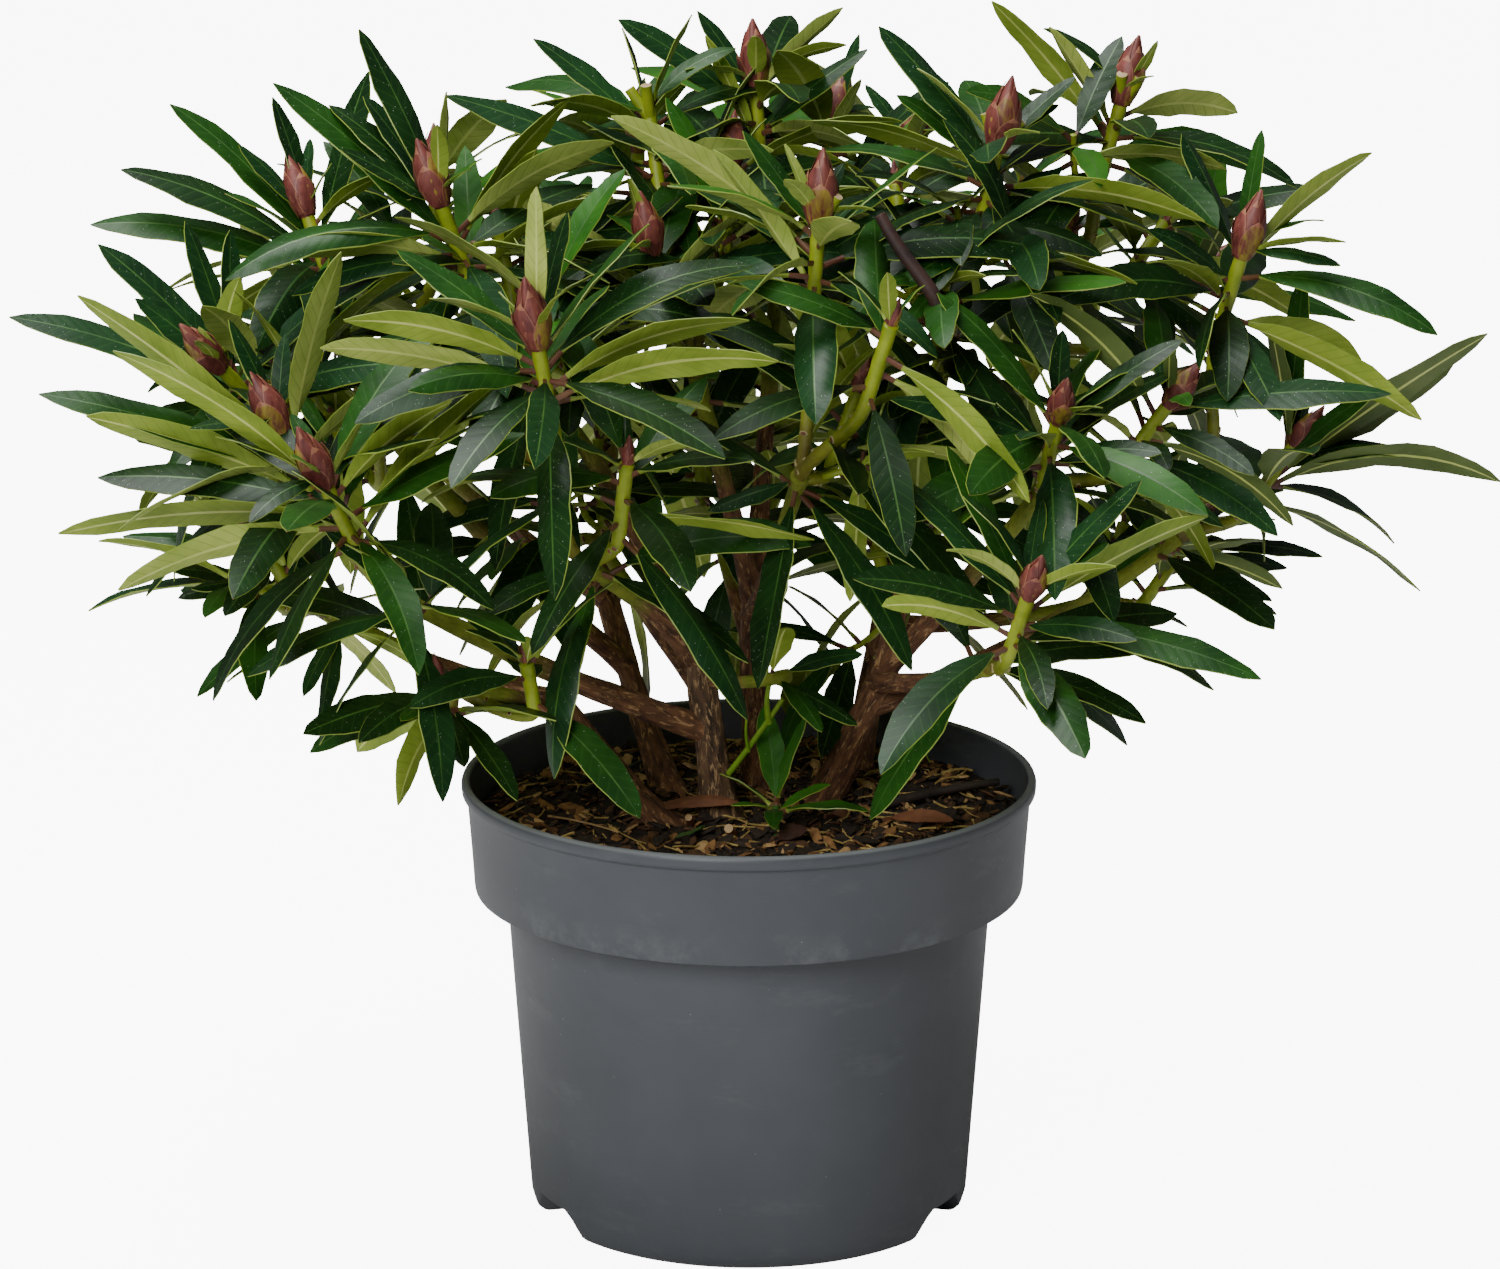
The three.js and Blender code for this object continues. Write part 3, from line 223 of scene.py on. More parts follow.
# A placed leaf is (bearing, rise, length, fall, roll): degrees round from +X, degrees above level from root
# to tip, millimetres, degrees of bend along it, degrees of twist. The seeded rule adds the others.

spray = dict(gap=0.3, neck=14, overlap=6, step=1.3, lean=0.0016, leafySpan=34, flatSpan=16, collarSpan=10,
             topBack=3, pull=0.36, lowPitch=102, highPitch=40, length=92, leastFall=18, fallSpread=34,
             rollSpread=80, apart=30, goldenAngle=137.50776, fuller=1.2, outerFrom=175, bareBefore=-70,
             longShoot=60, budSunk=2.5, skirtLevel=208, skirtWithin=150, skirtSlope=0.6)
stemFoot = 179  # mm, where the stems start below the soil


def unit(vectors):
    # each vector divided by its own length
    vectors = np.asarray(vectors, float)
    return vectors / np.maximum(np.linalg.norm(vectors, axis=-1, keepdims=True), 1e-12)


def chance(*keys):
    # fractional part of sin(weighted sum of the keys) times a large number: the same keys, the same number
    total = sum(key * weight for key, weight in zip(keys, (12.9898, 78.233, 37.719, 9.151)))
    value = math.sin(total) * 43758.5453
    return value - math.floor(value)


def chances(count, seed):
    # the same for a whole row of whole numbers at once
    value = np.sin(np.arange(count) * 12.9898 + seed * 78.233 + 4.7) * 43758.5453
    return value - np.floor(value)


def ease(x):
    # 0 below 0, 1 above 1, and 3x^2 - 2x^3 between
    x = np.clip(x, 0, 1)
    return x * x * (3 - 2 * x)


def latticeNoise(u, v, wrap, seed):
    # random numbers on whole (u, v), eased between; u repeats after wrap cells; from -1 to 1
    def corner(i, j):
        value = np.sin((i % wrap) * 12.9898 + j * 78.233 + seed * 37.719) * 43758.5453
        return 2 * (value - np.floor(value)) - 1
    cellU, cellV = np.floor(u), np.floor(v)
    partU, partV = ease(u - cellU), ease(v - cellV)
    low = corner(cellU, cellV) * (1 - partU) + corner(cellU + 1, cellV) * partU
    high = corner(cellU, cellV + 1) * (1 - partU) + corner(cellU + 1, cellV + 1) * partU
    return low * (1 - partV) + high * partV


# A piece is gathered in a bundle, as whole arrays of points and faces, and made into one mesh.

def newBundle():
    # empty lists that addPart fills
    return dict(points=[], quads=[], triangles=[], quadSlots=[], triangleSlots=[],
                grain=[], youth=[], uv=[], count=0)


def addPart(bundle, points, quads, triangles, quadSlots, triangleSlots, grain=None, youth=None, uv=None):
    # put one part's points and faces after those that the bundle holds
    count = len(points)
    bundle["points"].append(points)
    bundle["quads"].append(quads + bundle["count"])
    bundle["triangles"].append(triangles + bundle["count"])
    bundle["quadSlots"].append(np.broadcast_to(quadSlots, len(quads)))
    bundle["triangleSlots"].append(np.broadcast_to(triangleSlots, len(triangles)))
    bundle["grain"].append(np.zeros((count, 3)) if grain is None else grain)
    bundle["youth"].append(np.zeros(count) if youth is None else youth)
    bundle["uv"].append(np.zeros((count, 2)) if uv is None else uv)
    bundle["count"] += count


def makePiece(name, bundle, materials, sharpAngle):
    # one mesh in metres, with its UV map, the grain and youth of its points, and its materials by slot
    points = np.concatenate(bundle["points"]) * mm
    quads = np.concatenate(bundle["quads"]).astype(np.int32)
    triangles = np.concatenate(bundle["triangles"]).astype(np.int32)
    corners = np.concatenate([quads.ravel(), triangles.ravel()])
    starts = np.concatenate([np.arange(len(quads)) * 4, len(quads) * 4 + np.arange(len(triangles)) * 3])
    slots = np.concatenate(bundle["quadSlots"] + bundle["triangleSlots"]).astype(np.int32)
    mesh = bpy.data.meshes.new(name)
    mesh.vertices.add(len(points))
    mesh.vertices.foreach_set("co", points.ravel())
    mesh.loops.add(len(corners))
    mesh.loops.foreach_set("vertex_index", corners)
    mesh.polygons.add(len(starts))
    mesh.polygons.foreach_set("loop_start", starts.astype(np.int32))
    mesh.polygons.foreach_set("material_index", slots)
    mesh.polygons.foreach_set("use_smooth", np.ones(len(starts), bool))
    mesh.update(calc_edges=True)
    uvLayer = mesh.uv_layers.new(name="UVMap")
    uvLayer.data.foreach_set("uv", np.concatenate(bundle["uv"])[corners].ravel())
    grain = mesh.attributes.new("grain", "FLOAT_VECTOR", "POINT")
    grain.data.foreach_set("vector", (np.concatenate(bundle["grain"]) * mm).ravel())
    youth = mesh.attributes.new("youth", "FLOAT", "POINT")
    youth.data.foreach_set("value", np.concatenate(bundle["youth"]))
    mesh.set_sharp_from_angle(angle=math.radians(sharpAngle))
    for material in materials:
        mesh.materials.append(material)
    piece = bpy.data.objects.new(name, mesh)
    bpy.context.scene.collection.objects.link(piece)
    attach(piece, "root")
    return piece


def gridFaces(rows, columns):
    # quads between neighbouring rows and columns of a grid, the last column joined to the first
    row, column = np.meshgrid(np.arange(rows - 1), np.arange(columns), indexing="ij")
    following = (column + 1) % columns
    return np.stack([row * columns + column, row * columns + following,
                     (row + 1) * columns + following, (row + 1) * columns + column], -1).reshape(-1, 4)


def endFans(rows, columns):
    # triangles that close the grid's first and last ring on two points that follow the grid's own
    ring = np.arange(columns)
    following = np.roll(ring, -1)
    first = np.stack([following, ring, np.full(columns, rows * columns)], -1)
    last = np.stack([ring, following, np.full(columns, columns + 1)], -1) + (rows - 1) * columns
    return np.concatenate([first, last])


def addTurned(bundle, points, ends):
    # a grid of closed rings, point(row, column), closed on one point at each end
    rows, columns = points.shape[:2]
    addPart(bundle, np.concatenate([points.reshape(-1, 3), ends]), gridFaces(rows, columns),
            endFans(rows, columns), 0, 0)


def addShells(bundle, rings, slots, capSlot, uv=None):
    # rings[n, row, column] are rings, ordered round the way forward, joined along and closed at both ends
    number, rows, columns = rings.shape[:3]
    offset = (np.arange(number) * rows * columns)[:, None, None]
    column = np.arange(1, columns - 1)
    fan = np.stack([np.zeros_like(column), column, column + 1], -1)
    quads = (offset + gridFaces(rows, columns)[None]).reshape(-1, 4)
    triangles = (offset + np.concatenate([fan[:, ::-1], fan + (rows - 1) * columns])[None]).reshape(-1, 3)
    capSlots = np.repeat(np.broadcast_to(capSlot, number), 2 * len(column))
    quadSlots = np.broadcast_to(slots, (number, rows - 1, columns)).reshape(-1)
    addPart(bundle, rings.reshape(-1, 3), quads, triangles, quadSlots, capSlots, uv=uv)


def bezierPath(controls, share):
    # repeated straight mixing of the control points, by the share along
    points = [np.asarray(control, float)[None, :] for control in controls]
    share = np.asarray(share, float)[:, None]
    while len(points) > 1:
        points = [first * (1 - share) + second * share for first, second in zip(points, points[1:])]
    return points[0]


def lengthAlong(path):
    # length from the path's start to each of its points
    return np.concatenate([[0], np.cumsum(np.linalg.norm(np.diff(path, axis=0), axis=1))])


def framesOf(path):
    # tangent by differences, and two directions square to it and to each other, the first one also square to
    # the axis that the path runs along least
    tangent = unit(np.gradient(path, axis=0))
    steady = np.eye(3)[np.argmin(np.abs(tangent.mean(axis=0)))]
    first = unit(np.cross(tangent, steady))
    return tangent, first, np.cross(tangent, first)


def addTube(bundle, path, radii, sides, slot, relief=0.0, youth=0.0, dome=0.5, endSlot=None, seed=0):
    # point(i, j) = path(i) + (radius(i) + relief(i, j)) * (first * cos a(j) + second * sin a(j)), and one
    # point closes each end; grain is the same tube straightened, with its own offset for each seed
    tangent, first, second = framesOf(path)
    angle = 2 * np.pi * np.arange(sides) / sides
    reach = (np.asarray(radii, float)[:, None] + relief)[..., None]
    ring = first[:, None] * np.cos(angle)[:, None] + second[:, None] * np.sin(angle)[:, None]
    body = (path[:, None] + reach * ring).reshape(-1, 3)
    rows = len(path)
    ends = np.array([path[0], path[-1] + tangent[-1] * radii[-1] * dome])
    meanRadius = float(np.mean(radii))
    grain = np.stack(np.broadcast_arrays(meanRadius * np.cos(angle)[None] + 37 * seed,
                                         meanRadius * np.sin(angle)[None] + 11 * seed,
                                         lengthAlong(path)[:, None]), -1)
    grain = np.concatenate([grain.reshape(-1, 3), grain[0, :1], grain[-1, :1]])
    youthAt = np.broadcast_to(np.asarray(youth, float), rows)
    lastSlot = slot if endSlot is None else endSlot
    addPart(bundle, np.concatenate([body, ends]), gridFaces(rows, sides), endFans(rows, sides), slot,
            np.repeat([slot, lastSlot], sides), grain=grain,
            youth=np.concatenate([np.repeat(youthAt, sides), youthAt[:1], youthAt[-1:]]))


def newMaterial(name, roughness):
    material = bpy.data.materials.new(name)
    material.use_nodes = True
    tree = material.node_tree
    shader = tree.nodes["Principled BSDF"]
    shader.inputs["Roughness"].default_value = roughness
    return material, tree, shader


def addNode(tree, kind, place, **values):
    node = tree.nodes.new(kind)
    node.location = place
    for key, value in values.items():
        if key in node.inputs:
            node.inputs[key].default_value = value
        else:
            setattr(node, key, value)
    return node


def give(tree, socket, value):
    # a number or a colour is set on the socket, an output is linked to it
    if isinstance(value, (float, int, tuple)):
        socket.default_value = value
    else:
        tree.links.new(value, socket)


def reckon(tree, place, operation, *values, clamp=False):
    # a Math node on numbers or outputs
    node = addNode(tree, "ShaderNodeMath", place, operation=operation, use_clamp=clamp)
    for socket, value in zip(node.inputs, values):
        give(tree, socket, value)
    return node.outputs["Value"]


def spread(tree, place, source, low, high, top=1.0):
    # 0 where the source is low, top where it is high, even between
    node = addNode(tree, "ShaderNodeMapRange", place)
    node.inputs["From Min"].default_value = low
    node.inputs["From Max"].default_value = high
    node.inputs["To Max"].default_value = top
    tree.links.new(source, node.inputs["Value"])
    return node.outputs["Result"]


def blend(tree, place, amount, first, second):
    # colour: first where the amount is 0, second where it is 1
    mix = addNode(tree, "ShaderNodeMix", place, data_type="RGBA")
    for socket, value in ((mix.inputs["Factor"], amount), (mix.inputs[6], first), (mix.inputs[7], second)):
        give(tree, socket, value)
    return mix.outputs[2]


def noise(tree, place, where, **values):
    node = addNode(tree, "ShaderNodeTexNoise", place, **values)
    tree.links.new(where, node.inputs["Vector"])
    return node.outputs["Fac"]


def squeeze(tree, place, where, scale):
    # coordinates multiplied by their own scale along each axis
    node = addNode(tree, "ShaderNodeMapping", place)
    node.inputs["Scale"].default_value = scale
    tree.links.new(where, node.inputs["Vector"])
    return node.outputs["Vector"]


def split(tree, place, where):
    node = addNode(tree, "ShaderNodeSeparateXYZ", place)
    tree.links.new(where, node.inputs["Vector"])
    return node.outputs


def objectCoordinates(tree):
    return addNode(tree, "ShaderNodeTexCoord", (-1300, 0)).outputs["Object"]


def attribute(tree, place, name):
    return addNode(tree, "ShaderNodeAttribute", place, attribute_name=name).outputs


def addBump(tree, shader, height, strength, distance):
    bump = addNode(tree, "ShaderNodeBump", (-250, -350), Strength=strength, Distance=distance)
    tree.links.new(height, bump.inputs["Height"])
    tree.links.new(bump.outputs["Normal"], shader.inputs["Normal"])


def rgba(red, green, blue):
    # a display colour from 0 to 255 as linear light
    share = np.array([red, green, blue]) / 255
    linear = np.where(share <= 0.04045, share / 12.92, ((share + 0.055) / 1.055) ** 2.4)
    return (*[float(x) for x in linear], 1.0)


def newGroup(name, inputs, outputs):
    group = bpy.data.node_groups.new(name, "ShaderNodeTree")
    for label, kind, value in inputs:
        socket = group.interface.new_socket(name=label, in_out="INPUT", socket_type=kind)
        if value is not None:
            socket.default_value = value
    for label, kind in outputs:
        group.interface.new_socket(name=label, in_out="OUTPUT", socket_type=kind)
    source = addNode(group, "NodeGroupInput", (-700, 0)).outputs
    return group, source, addNode(group, "NodeGroupOutput", (500, 0)).inputs


def mottleGroup():
    # two colours mixed by soft noise
    group, source, result = newGroup("mottle", [
        ("Vector", "NodeSocketVector", None), ("Scale", "NodeSocketFloat", 40.0),
        ("Contrast", "NodeSocketFloat", 1.0), ("Dark", "NodeSocketColor", None),
        ("Light", "NodeSocketColor", None)], [("Color", "NodeSocketColor")])
    cloud = addNode(group, "ShaderNodeTexNoise", (-450, 0), Detail=3.0, Roughness=0.6)
    group.links.new(source["Vector"], cloud.inputs["Vector"])
    group.links.new(source["Scale"], cloud.inputs["Scale"])
    stretched = spread(group, (-200, 0), cloud.outputs["Fac"], 0.32, 0.68)
    amount = reckon(group, (0, -150), "MULTIPLY", stretched, source["Contrast"], clamp=True)
    group.links.new(blend(group, (200, 0), amount, source["Dark"], source["Light"]), result["Color"])
    return group


def speckGroup():
    # small round specks: 1 at the middle of a chosen share of the cells, and 0 away from it
    group, source, result = newGroup("specks", [
        ("Vector", "NodeSocketVector", None), ("Scale", "NodeSocketFloat", 400.0),
        ("Share", "NodeSocketFloat", 0.15)], [("Mask", "NodeSocketFloat")])
    cells = addNode(group, "ShaderNodeTexVoronoi", (-450, 0), feature="F1")
    group.links.new(source["Vector"], cells.inputs["Vector"])
    group.links.new(source["Scale"], cells.inputs["Scale"])
    near = spread(group, (-250, 120), cells.outputs["Distance"], 0.28, 0.1)
    pick = addNode(group, "ShaderNodeSeparateColor", (-250, -120))
    group.links.new(cells.outputs["Color"], pick.inputs["Color"])
    chosen = reckon(group, (-50, -120), "LESS_THAN", pick.outputs["Red"], source["Share"])
    group.links.new(reckon(group, (200, 0), "MULTIPLY", near, chosen, clamp=True), result["Mask"])
    return group


def veinGroup():
    # side veins that leave the midrib forward: a zigzag of rate * (along + slant * distance from the midrib)
    group, source, result = newGroup("veins", [
        ("Vector", "NodeSocketVector", None), ("Rate", "NodeSocketFloat", 3.2),
        ("Slant", "NodeSocketFloat", -1.0)], [("Vein", "NodeSocketFloat"), ("Swell", "NodeSocketFloat")])
    flat = split(group, (-500, 0), source["Vector"])
    away = reckon(group, (-350, 100), "ABSOLUTE", flat["X"])
    slanted = reckon(group, (-200, 0), "MULTIPLY_ADD", away, source["Slant"], flat["Y"])
    scaled = reckon(group, (-50, 0), "MULTIPLY", slanted, source["Rate"])
    zigzag = reckon(group, (100, 0), "PINGPONG", scaled, 0.5)
    group.links.new(spread(group, (280, 120), zigzag, 0.09, 0.01), result["Vein"])
    group.links.new(zigzag, result["Swell"])
    return group


mottle = mottleGroup()
specks = speckGroup()
veins = veinGroup()


def placeGroup(tree, group, place, where, **values):
    # one of the shared effects, with its own values, read at these coordinates
    node = addNode(tree, "ShaderNodeGroup", place)
    node.node_tree = group
    for label, value in values.items():
        node.inputs[label].default_value = value
    tree.links.new(where, node.inputs["Vector"])
    return node.outputs


def toned(tree, place, where, scale, dark, light, contrast=1.0):
    return placeGroup(tree, mottle, place, where, Scale=scale, Contrast=contrast, Dark=dark,
                      Light=light)["Color"]


def grained(name, roughness, dark, light, scale, grain, relief, stretch=None):
    # two close colours mixed by noise, and a finer noise as relief of (strength, depth)
    material, tree, shader = newMaterial(name, roughness)
    where = objectCoordinates(tree)
    if stretch:
        where = squeeze(tree, (-1050, 0), where, stretch)
    tree.links.new(toned(tree, (-800, 200), where, scale, dark, light), shader.inputs["Base Color"])
    addBump(tree, shader, noise(tree, (-800, -200), where, **grain), *relief)
    return material


def plainLeafPart(name, dark, light, roughness):
    return grained(name, roughness, dark, light, 60.0, dict(Scale=1400.0, Detail=2.0), (0.2, 0.0003))


def budMaterial(name, dark, light):
    return grained(name, 0.5, dark, light, 300.0, dict(Scale=1000.0, Detail=3.0), (0.25, 0.0003),
                   (1, 1, 0.3))


def chipMaterial(name, dark, light):
    return grained(name, 0.85, dark, light, 260.0, dict(Scale=700.0, Detail=3.0), (0.5, 0.0006))


def soilMaterial():
    return grained("soil_peat", 0.95, rgba(14, 10, 7), rgba(54, 40, 22), 180.0,
                   dict(Scale=420.0, Detail=5.0, Roughness=0.7), (0.9, 0.0015))


def bladeMaterial(name, dark, light, roughness, dust, line, strength):
    # one face of a leaf: mottled green, faint side veins, white dust specks
    material, tree, shader = newMaterial(name, roughness)
    shader.inputs["Specular IOR Level"].default_value = 0.24
    where = objectCoordinates(tree)
    flat = addNode(tree, "ShaderNodeUVMap", (-1100, -600), uv_map="UVMap").outputs["UV"]
    side = placeGroup(tree, veins, (-800, -600), flat)
    faint = reckon(tree, (-550, -600), "MULTIPLY", side["Vein"], strength)
    veined = blend(tree, (-500, 150), faint, toned(tree, (-800, 150), where, 38.0, dark, light), line)
    dots = placeGroup(tree, specks, (-800, -150), where, Scale=1350.0, Share=dust)
    tree.links.new(blend(tree, (-300, 150), dots["Mask"], veined, rgba(190, 198, 180)),
                   shader.inputs["Base Color"])
    fine = noise(tree, (-800, -400), where, Scale=900.0, Detail=2.0)
    addBump(tree, shader, reckon(tree, (-450, -400), "MULTIPLY_ADD", fine, 0.6, side["Swell"]), 0.2, 0.0005)
    return material


def barkMaterial(name, dark, light, straw):
    # long fibres by noise drawn out along the limb, pale straws where it peaks, green on young wood
    material, tree, shader = newMaterial(name, 0.8)
    grain = attribute(tree, (-1300, 0), "grain")["Vector"]
    youth = attribute(tree, (-1300, -400), "youth")["Fac"]
    long = squeeze(tree, (-1100, 0), grain, (1, 1, 0.24))
    fibre = noise(tree, (-800, 0), long, Scale=560.0, Detail=5.0, Roughness=0.7, Distortion=0.8)
    peaks = spread(tree, (-600, 0), fibre, 0.54, 0.66)
    old = blend(tree, (-400, 250), peaks, toned(tree, (-800, 250), long, 330.0, dark, light), straw)
    patch = noise(tree, (-800, -250), grain, Scale=70.0, Detail=3.0)
    young = spread(tree, (-300, -300), reckon(tree, (-600, -300), "MULTIPLY_ADD", patch, 0.5, youth), 0.5, 1)
    green = toned(tree, (-800, -500), grain, 90.0, rgba(108, 120, 24), rgba(142, 150, 44))
    tree.links.new(blend(tree, (-150, 250), young, old, green), shader.inputs["Base Color"])
    addBump(tree, shader, fibre, 0.9, 0.0012)
    return material


def shootMaterial():
    # smooth yellow-green skin, browner towards its foot
    material, tree, shader = newMaterial("shoot_skin", 0.48)
    grain = attribute(tree, (-1300, 0), "grain")["Vector"]
    youth = attribute(tree, (-1300, -400), "youth")["Fac"]
    green = toned(tree, (-800, 250), grain, 120.0, rgba(126, 146, 18), rgba(160, 174, 36))
    brown = toned(tree, (-800, -100), grain, 160.0, rgba(98, 76, 32), rgba(130, 126, 42))
    upper = spread(tree, (-600, -500), youth, 0.4, 0.8)
    tree.links.new(blend(tree, (-300, 250), upper, brown, green), shader.inputs["Base Color"])
    addBump(tree, shader, noise(tree, (-800, -350), grain, Scale=900.0, Detail=3.0), 0.3, 0.0003)
    return material


def collarDust(tree, where, level):
    # patches of dust on the collar just above its foot, at a level of 0.1508 m, thinner upward
    above = reckon(tree, (-600, 700), "GREATER_THAN", level, 0.1508)
    band = reckon(tree, (-400, 700), "MULTIPLY", spread(tree, (-800, 700), level, 0.168, 0.153, 0.6), above)
    patch = noise(tree, (-800, 900), where, Scale=30.0, Detail=6.0, Roughness=0.7)
    return reckon(tree, (-250, 800), "MULTIPLY", band, spread(tree, (-600, 900), patch, 0.5, 0.72))


def potMaterial():
    # matt grey plastic: slow clouding, faint scuffs, dust, a painted highlight along the rim's top edge,
    # specks
    material, tree, shader = newMaterial("pot_plastic", 0.46)
    where = objectCoordinates(tree)
    level = split(tree, (-1000, 500), where)["Z"]
    cloud = toned(tree, (-800, 200), where, 14.0, rgba(71, 74, 79), rgba(82, 85, 90), 0.7)
    scuff = noise(tree, (-800, -300), squeeze(tree, (-1000, -300), where, (0.7, 0.7, 2)), Scale=26.0,
                  Detail=7.0, Roughness=0.74)
    worn = blend(tree, (-400, 200), spread(tree, (-550, -300), scuff, 0.56, 0.9), cloud, rgba(96, 99, 101))
    dusted = blend(tree, (-250, 350), collarDust(tree, where, level), worn, rgba(118, 121, 122))
    # painted highlight: the rim's top edge is made paler, standing in for the light that falls on it
    rim = spread(tree, (-800, 450), level, 0.2006, 0.2016)
    rim_highlighted = blend(tree, (-250, 500), rim, dusted, rgba(122, 126, 130))
    dots = placeGroup(tree, specks, (-800, -50), where, Scale=700.0, Share=0.002)
    tree.links.new(blend(tree, (-200, 200), dots["Mask"], rim_highlighted, rgba(128, 130, 130)),
                   shader.inputs["Base Color"])
    addBump(tree, shader, noise(tree, (-800, -500), where, Scale=1500.0, Detail=2.0), 0.15, 0.0003)
    return material


def limbControls():
    # three control points for each limb; a bough starts at its share along the limb that carries it
    controls = {}
    for name, parent, place, end, lift, radii in limbs:
        if parent is None:
            start = np.array((*place, stemFoot), float)
        else:
            start = bezierPath(controls[parent], [place])[0]
        end = np.array(end, float)
        controls[name] = (start, (start + end) / 2 + (0, 0, lift), end)
    return controls


def crossFrame(axis):
    # two directions square to a shoot's axis
    steady = (0, 1, 0.01) if abs(axis[1]) < 0.95 else (1, 0, 0)
    first = unit(np.cross(axis, steady))
    return first, np.cross(axis, first)


def roundAxis(axis, around):
    # the direction square to an axis at an angle round it
    first, second = crossFrame(axis)
    return first * math.cos(around) + second * math.sin(around)


def leafBy(root, bearing, rise, length, fall, roll, age=0.5, key=0.5):
    return dict(root=root, bearing=bearing, rise=rise, length=length, fall=fall, roll=roll, age=age, key=key)


def placedLeaf(root, row, **more):
    # a row's rise is that of its chord, so the leaf starts half its bend steeper
    bearing, rise, length, fall, roll = row
    return leafBy(root, math.radians(bearing), math.radians(rise + fall / 2), length,
                  math.radians(fall), math.radians(roll), **more)


def tipOf(leaf):
    # reach and climb of the leaf's arc, the integrals of the cosine and sine of its rise
    last = leaf["rise"] - leaf["fall"]
    reach = leaf["length"] / leaf["fall"] * (math.sin(leaf["rise"]) - math.sin(last))
    climb = leaf["length"] / leaf["fall"] * (math.cos(last) - math.cos(leaf["rise"]))
    return leaf["root"] + (reach * math.cos(leaf["bearing"]), reach * math.sin(leaf["bearing"]), climb)


def chordOf(leaf):
    return unit(tipOf(leaf) - leaf["root"])


def aboveSkirt(leaf):
    # turn a leaf up until its tip clears the crown's lower edge, which climbs outward
    tip = tipOf(leaf)
    outside = max(0, math.hypot(tip[0], tip[1]) - spray["skirtWithin"])
    lowest = spray["skirtLevel"] + spray["skirtSlope"] * outside
    leaf["rise"] += math.asin(max(0, min(1, (lowest - tip[2]) / leaf["length"])))
    return leaf


def ruleLeaf(tip, axis, keys, around, pitch, length, back, **more):
    # a leaf at an angle round the shoot and a pitch from its axis, bending down by a seeded fall
    heading = axis * math.cos(pitch) + roundAxis(axis, around) * math.sin(pitch)
    rise = math.asin(max(-1, min(1, heading[2])))
    fall = math.radians(spray["leastFall"] + spray["fallSpread"] * chance(*keys, 4))
    return aboveSkirt(leafBy(tip - axis * back, math.atan2(heading[1], heading[0]), rise, length,
                             min(fall, max(0.1, rise + math.pi / 2)),
                             math.radians(spray["rollSpread"] * (chance(*keys, 5) - 0.5)), **more))


def whorl(mass, shoot, tip, axis, count, placed, span, raised, size, fuller=1.0):
    # the placed leaves, lowest first, then leaves on a golden-angle spiral where none points already
    leaves = []
    for i, row in enumerate(placed):
        back = spray["topBack"] + span * (1 - (i + 0.5) / len(placed))
        leaves.append(placedLeaf(tip - axis * back, row, key=chance(mass, shoot, i, 21)))
    taken = [chordOf(leaf) for leaf in leaves]
    limit = math.cos(math.radians(spray["apart"] / fuller))
    turn = 360 * chance(mass, shoot, 7, 7)
    count = round(count * fuller)
    steep = spray["lowPitch"] - raised
    for i in range(count):
        share = i / max(1, count - 1)
        keys = (mass, shoot, i)
        around = math.radians(turn + i * spray["goldenAngle"] + 24 * (chance(*keys, 1) - 0.5))
        pitch = steep + (spray["highPitch"] - steep) * share ** 0.9 + 18 * (chance(*keys, 2) - 0.5)
        length = size * spray["length"] * (0.84 + 0.26 * chance(*keys, 3)) * (1 - 0.14 * share)
        leaf = ruleLeaf(tip, axis, keys, around, math.radians(pitch), length,
                        spray["topBack"] + span * (1 - share), age=1 - share, key=chance(*keys, 22))
        heading = chordOf(leaf)
        if len(leaves) < count and all(heading @ other < limit for other in taken):
            leaves.append(leaf)
    return leaves


def youngLeaves(mass, shoot, tip, axis, count):
    # short steep leaves round the bud
    leaves = []
    for i in range(count):
        keys = (mass, shoot, 40 + i)
        around = math.radians(i * spray["goldenAngle"] + 360 * chance(*keys, 1))
        pitch = math.radians(20 + 44 * chance(*keys, 2))
        leaves.append(ruleLeaf(tip, axis, keys, around, pitch, 24 + 28 * chance(*keys, 3), 0.6 + 1.2 * i,
                               age=0, key=chance(*keys, 22)))
    return leaves


def sideTwig(mass, shoot, path, number):
    # a short leafy twig from the side of a shoot, bending up to the shoot's own direction
    count = 6
    keys = (mass, shoot, 60 + number)
    at = int((0.34 + 0.3 * chance(*keys, 1)) * (len(path) - 1))
    along = unit(path[at + 1] - path[at])
    around = 2 * math.pi * chance(*keys, 2)
    out = roundAxis(along, around)
    reach = 18 + 20 * chance(*keys, 3)
    end = path[at] + out * reach * 0.8 + along * reach * 0.8
    twig = bezierPath((path[at], path[at] + out * reach * 0.6, end), np.linspace(0, 1, 9))
    axis = unit(twig[-1] - twig[-2])
    leaves = []
    for i in range(count):
        pitch = math.radians(88 - 11 * i + 16 * (chance(*keys, 10 + i) - 0.5))
        turn = math.radians(i * spray["goldenAngle"]) + around
        leaves.append(ruleLeaf(end, axis, (mass, shoot, 60 + 9 * number + i), turn, pitch,
                               54 + 22 * chance(*keys, 20 + i), 2 + 2 * (count - i), age=0.3,
                               key=chance(*keys, 30 + i)))
    return twig, leaves


def shootLine(tip, flat, neck, along, order):
    # the leafy end's axis and length, a path that curves out of the neck and runs straight to the tip, and
    # how far the straight part lies from the neck
    upright = unit((tip[0] * spray["lean"], tip[1] * spray["lean"], 1))
    axis = upright if flat else unit(unit(tip - neck) + upright)
    span = spray["flatSpan"] if flat else spray["leafySpan"]
    start = neck - along * (spray["overlap"] + spray["step"] * order)
    straight = tip - axis * (span + 5)
    reach = np.linalg.norm(straight - neck)
    pull = spray["pull"]
    bend = bezierPath((start, neck + along * pull * reach, straight - axis * pull * reach, straight),
                      np.linspace(0, 1, 22))
    path = np.concatenate([bend, straight + (tip - straight) * np.linspace(0, 1, 11)[1:, None]])
    return axis, span, path, reach


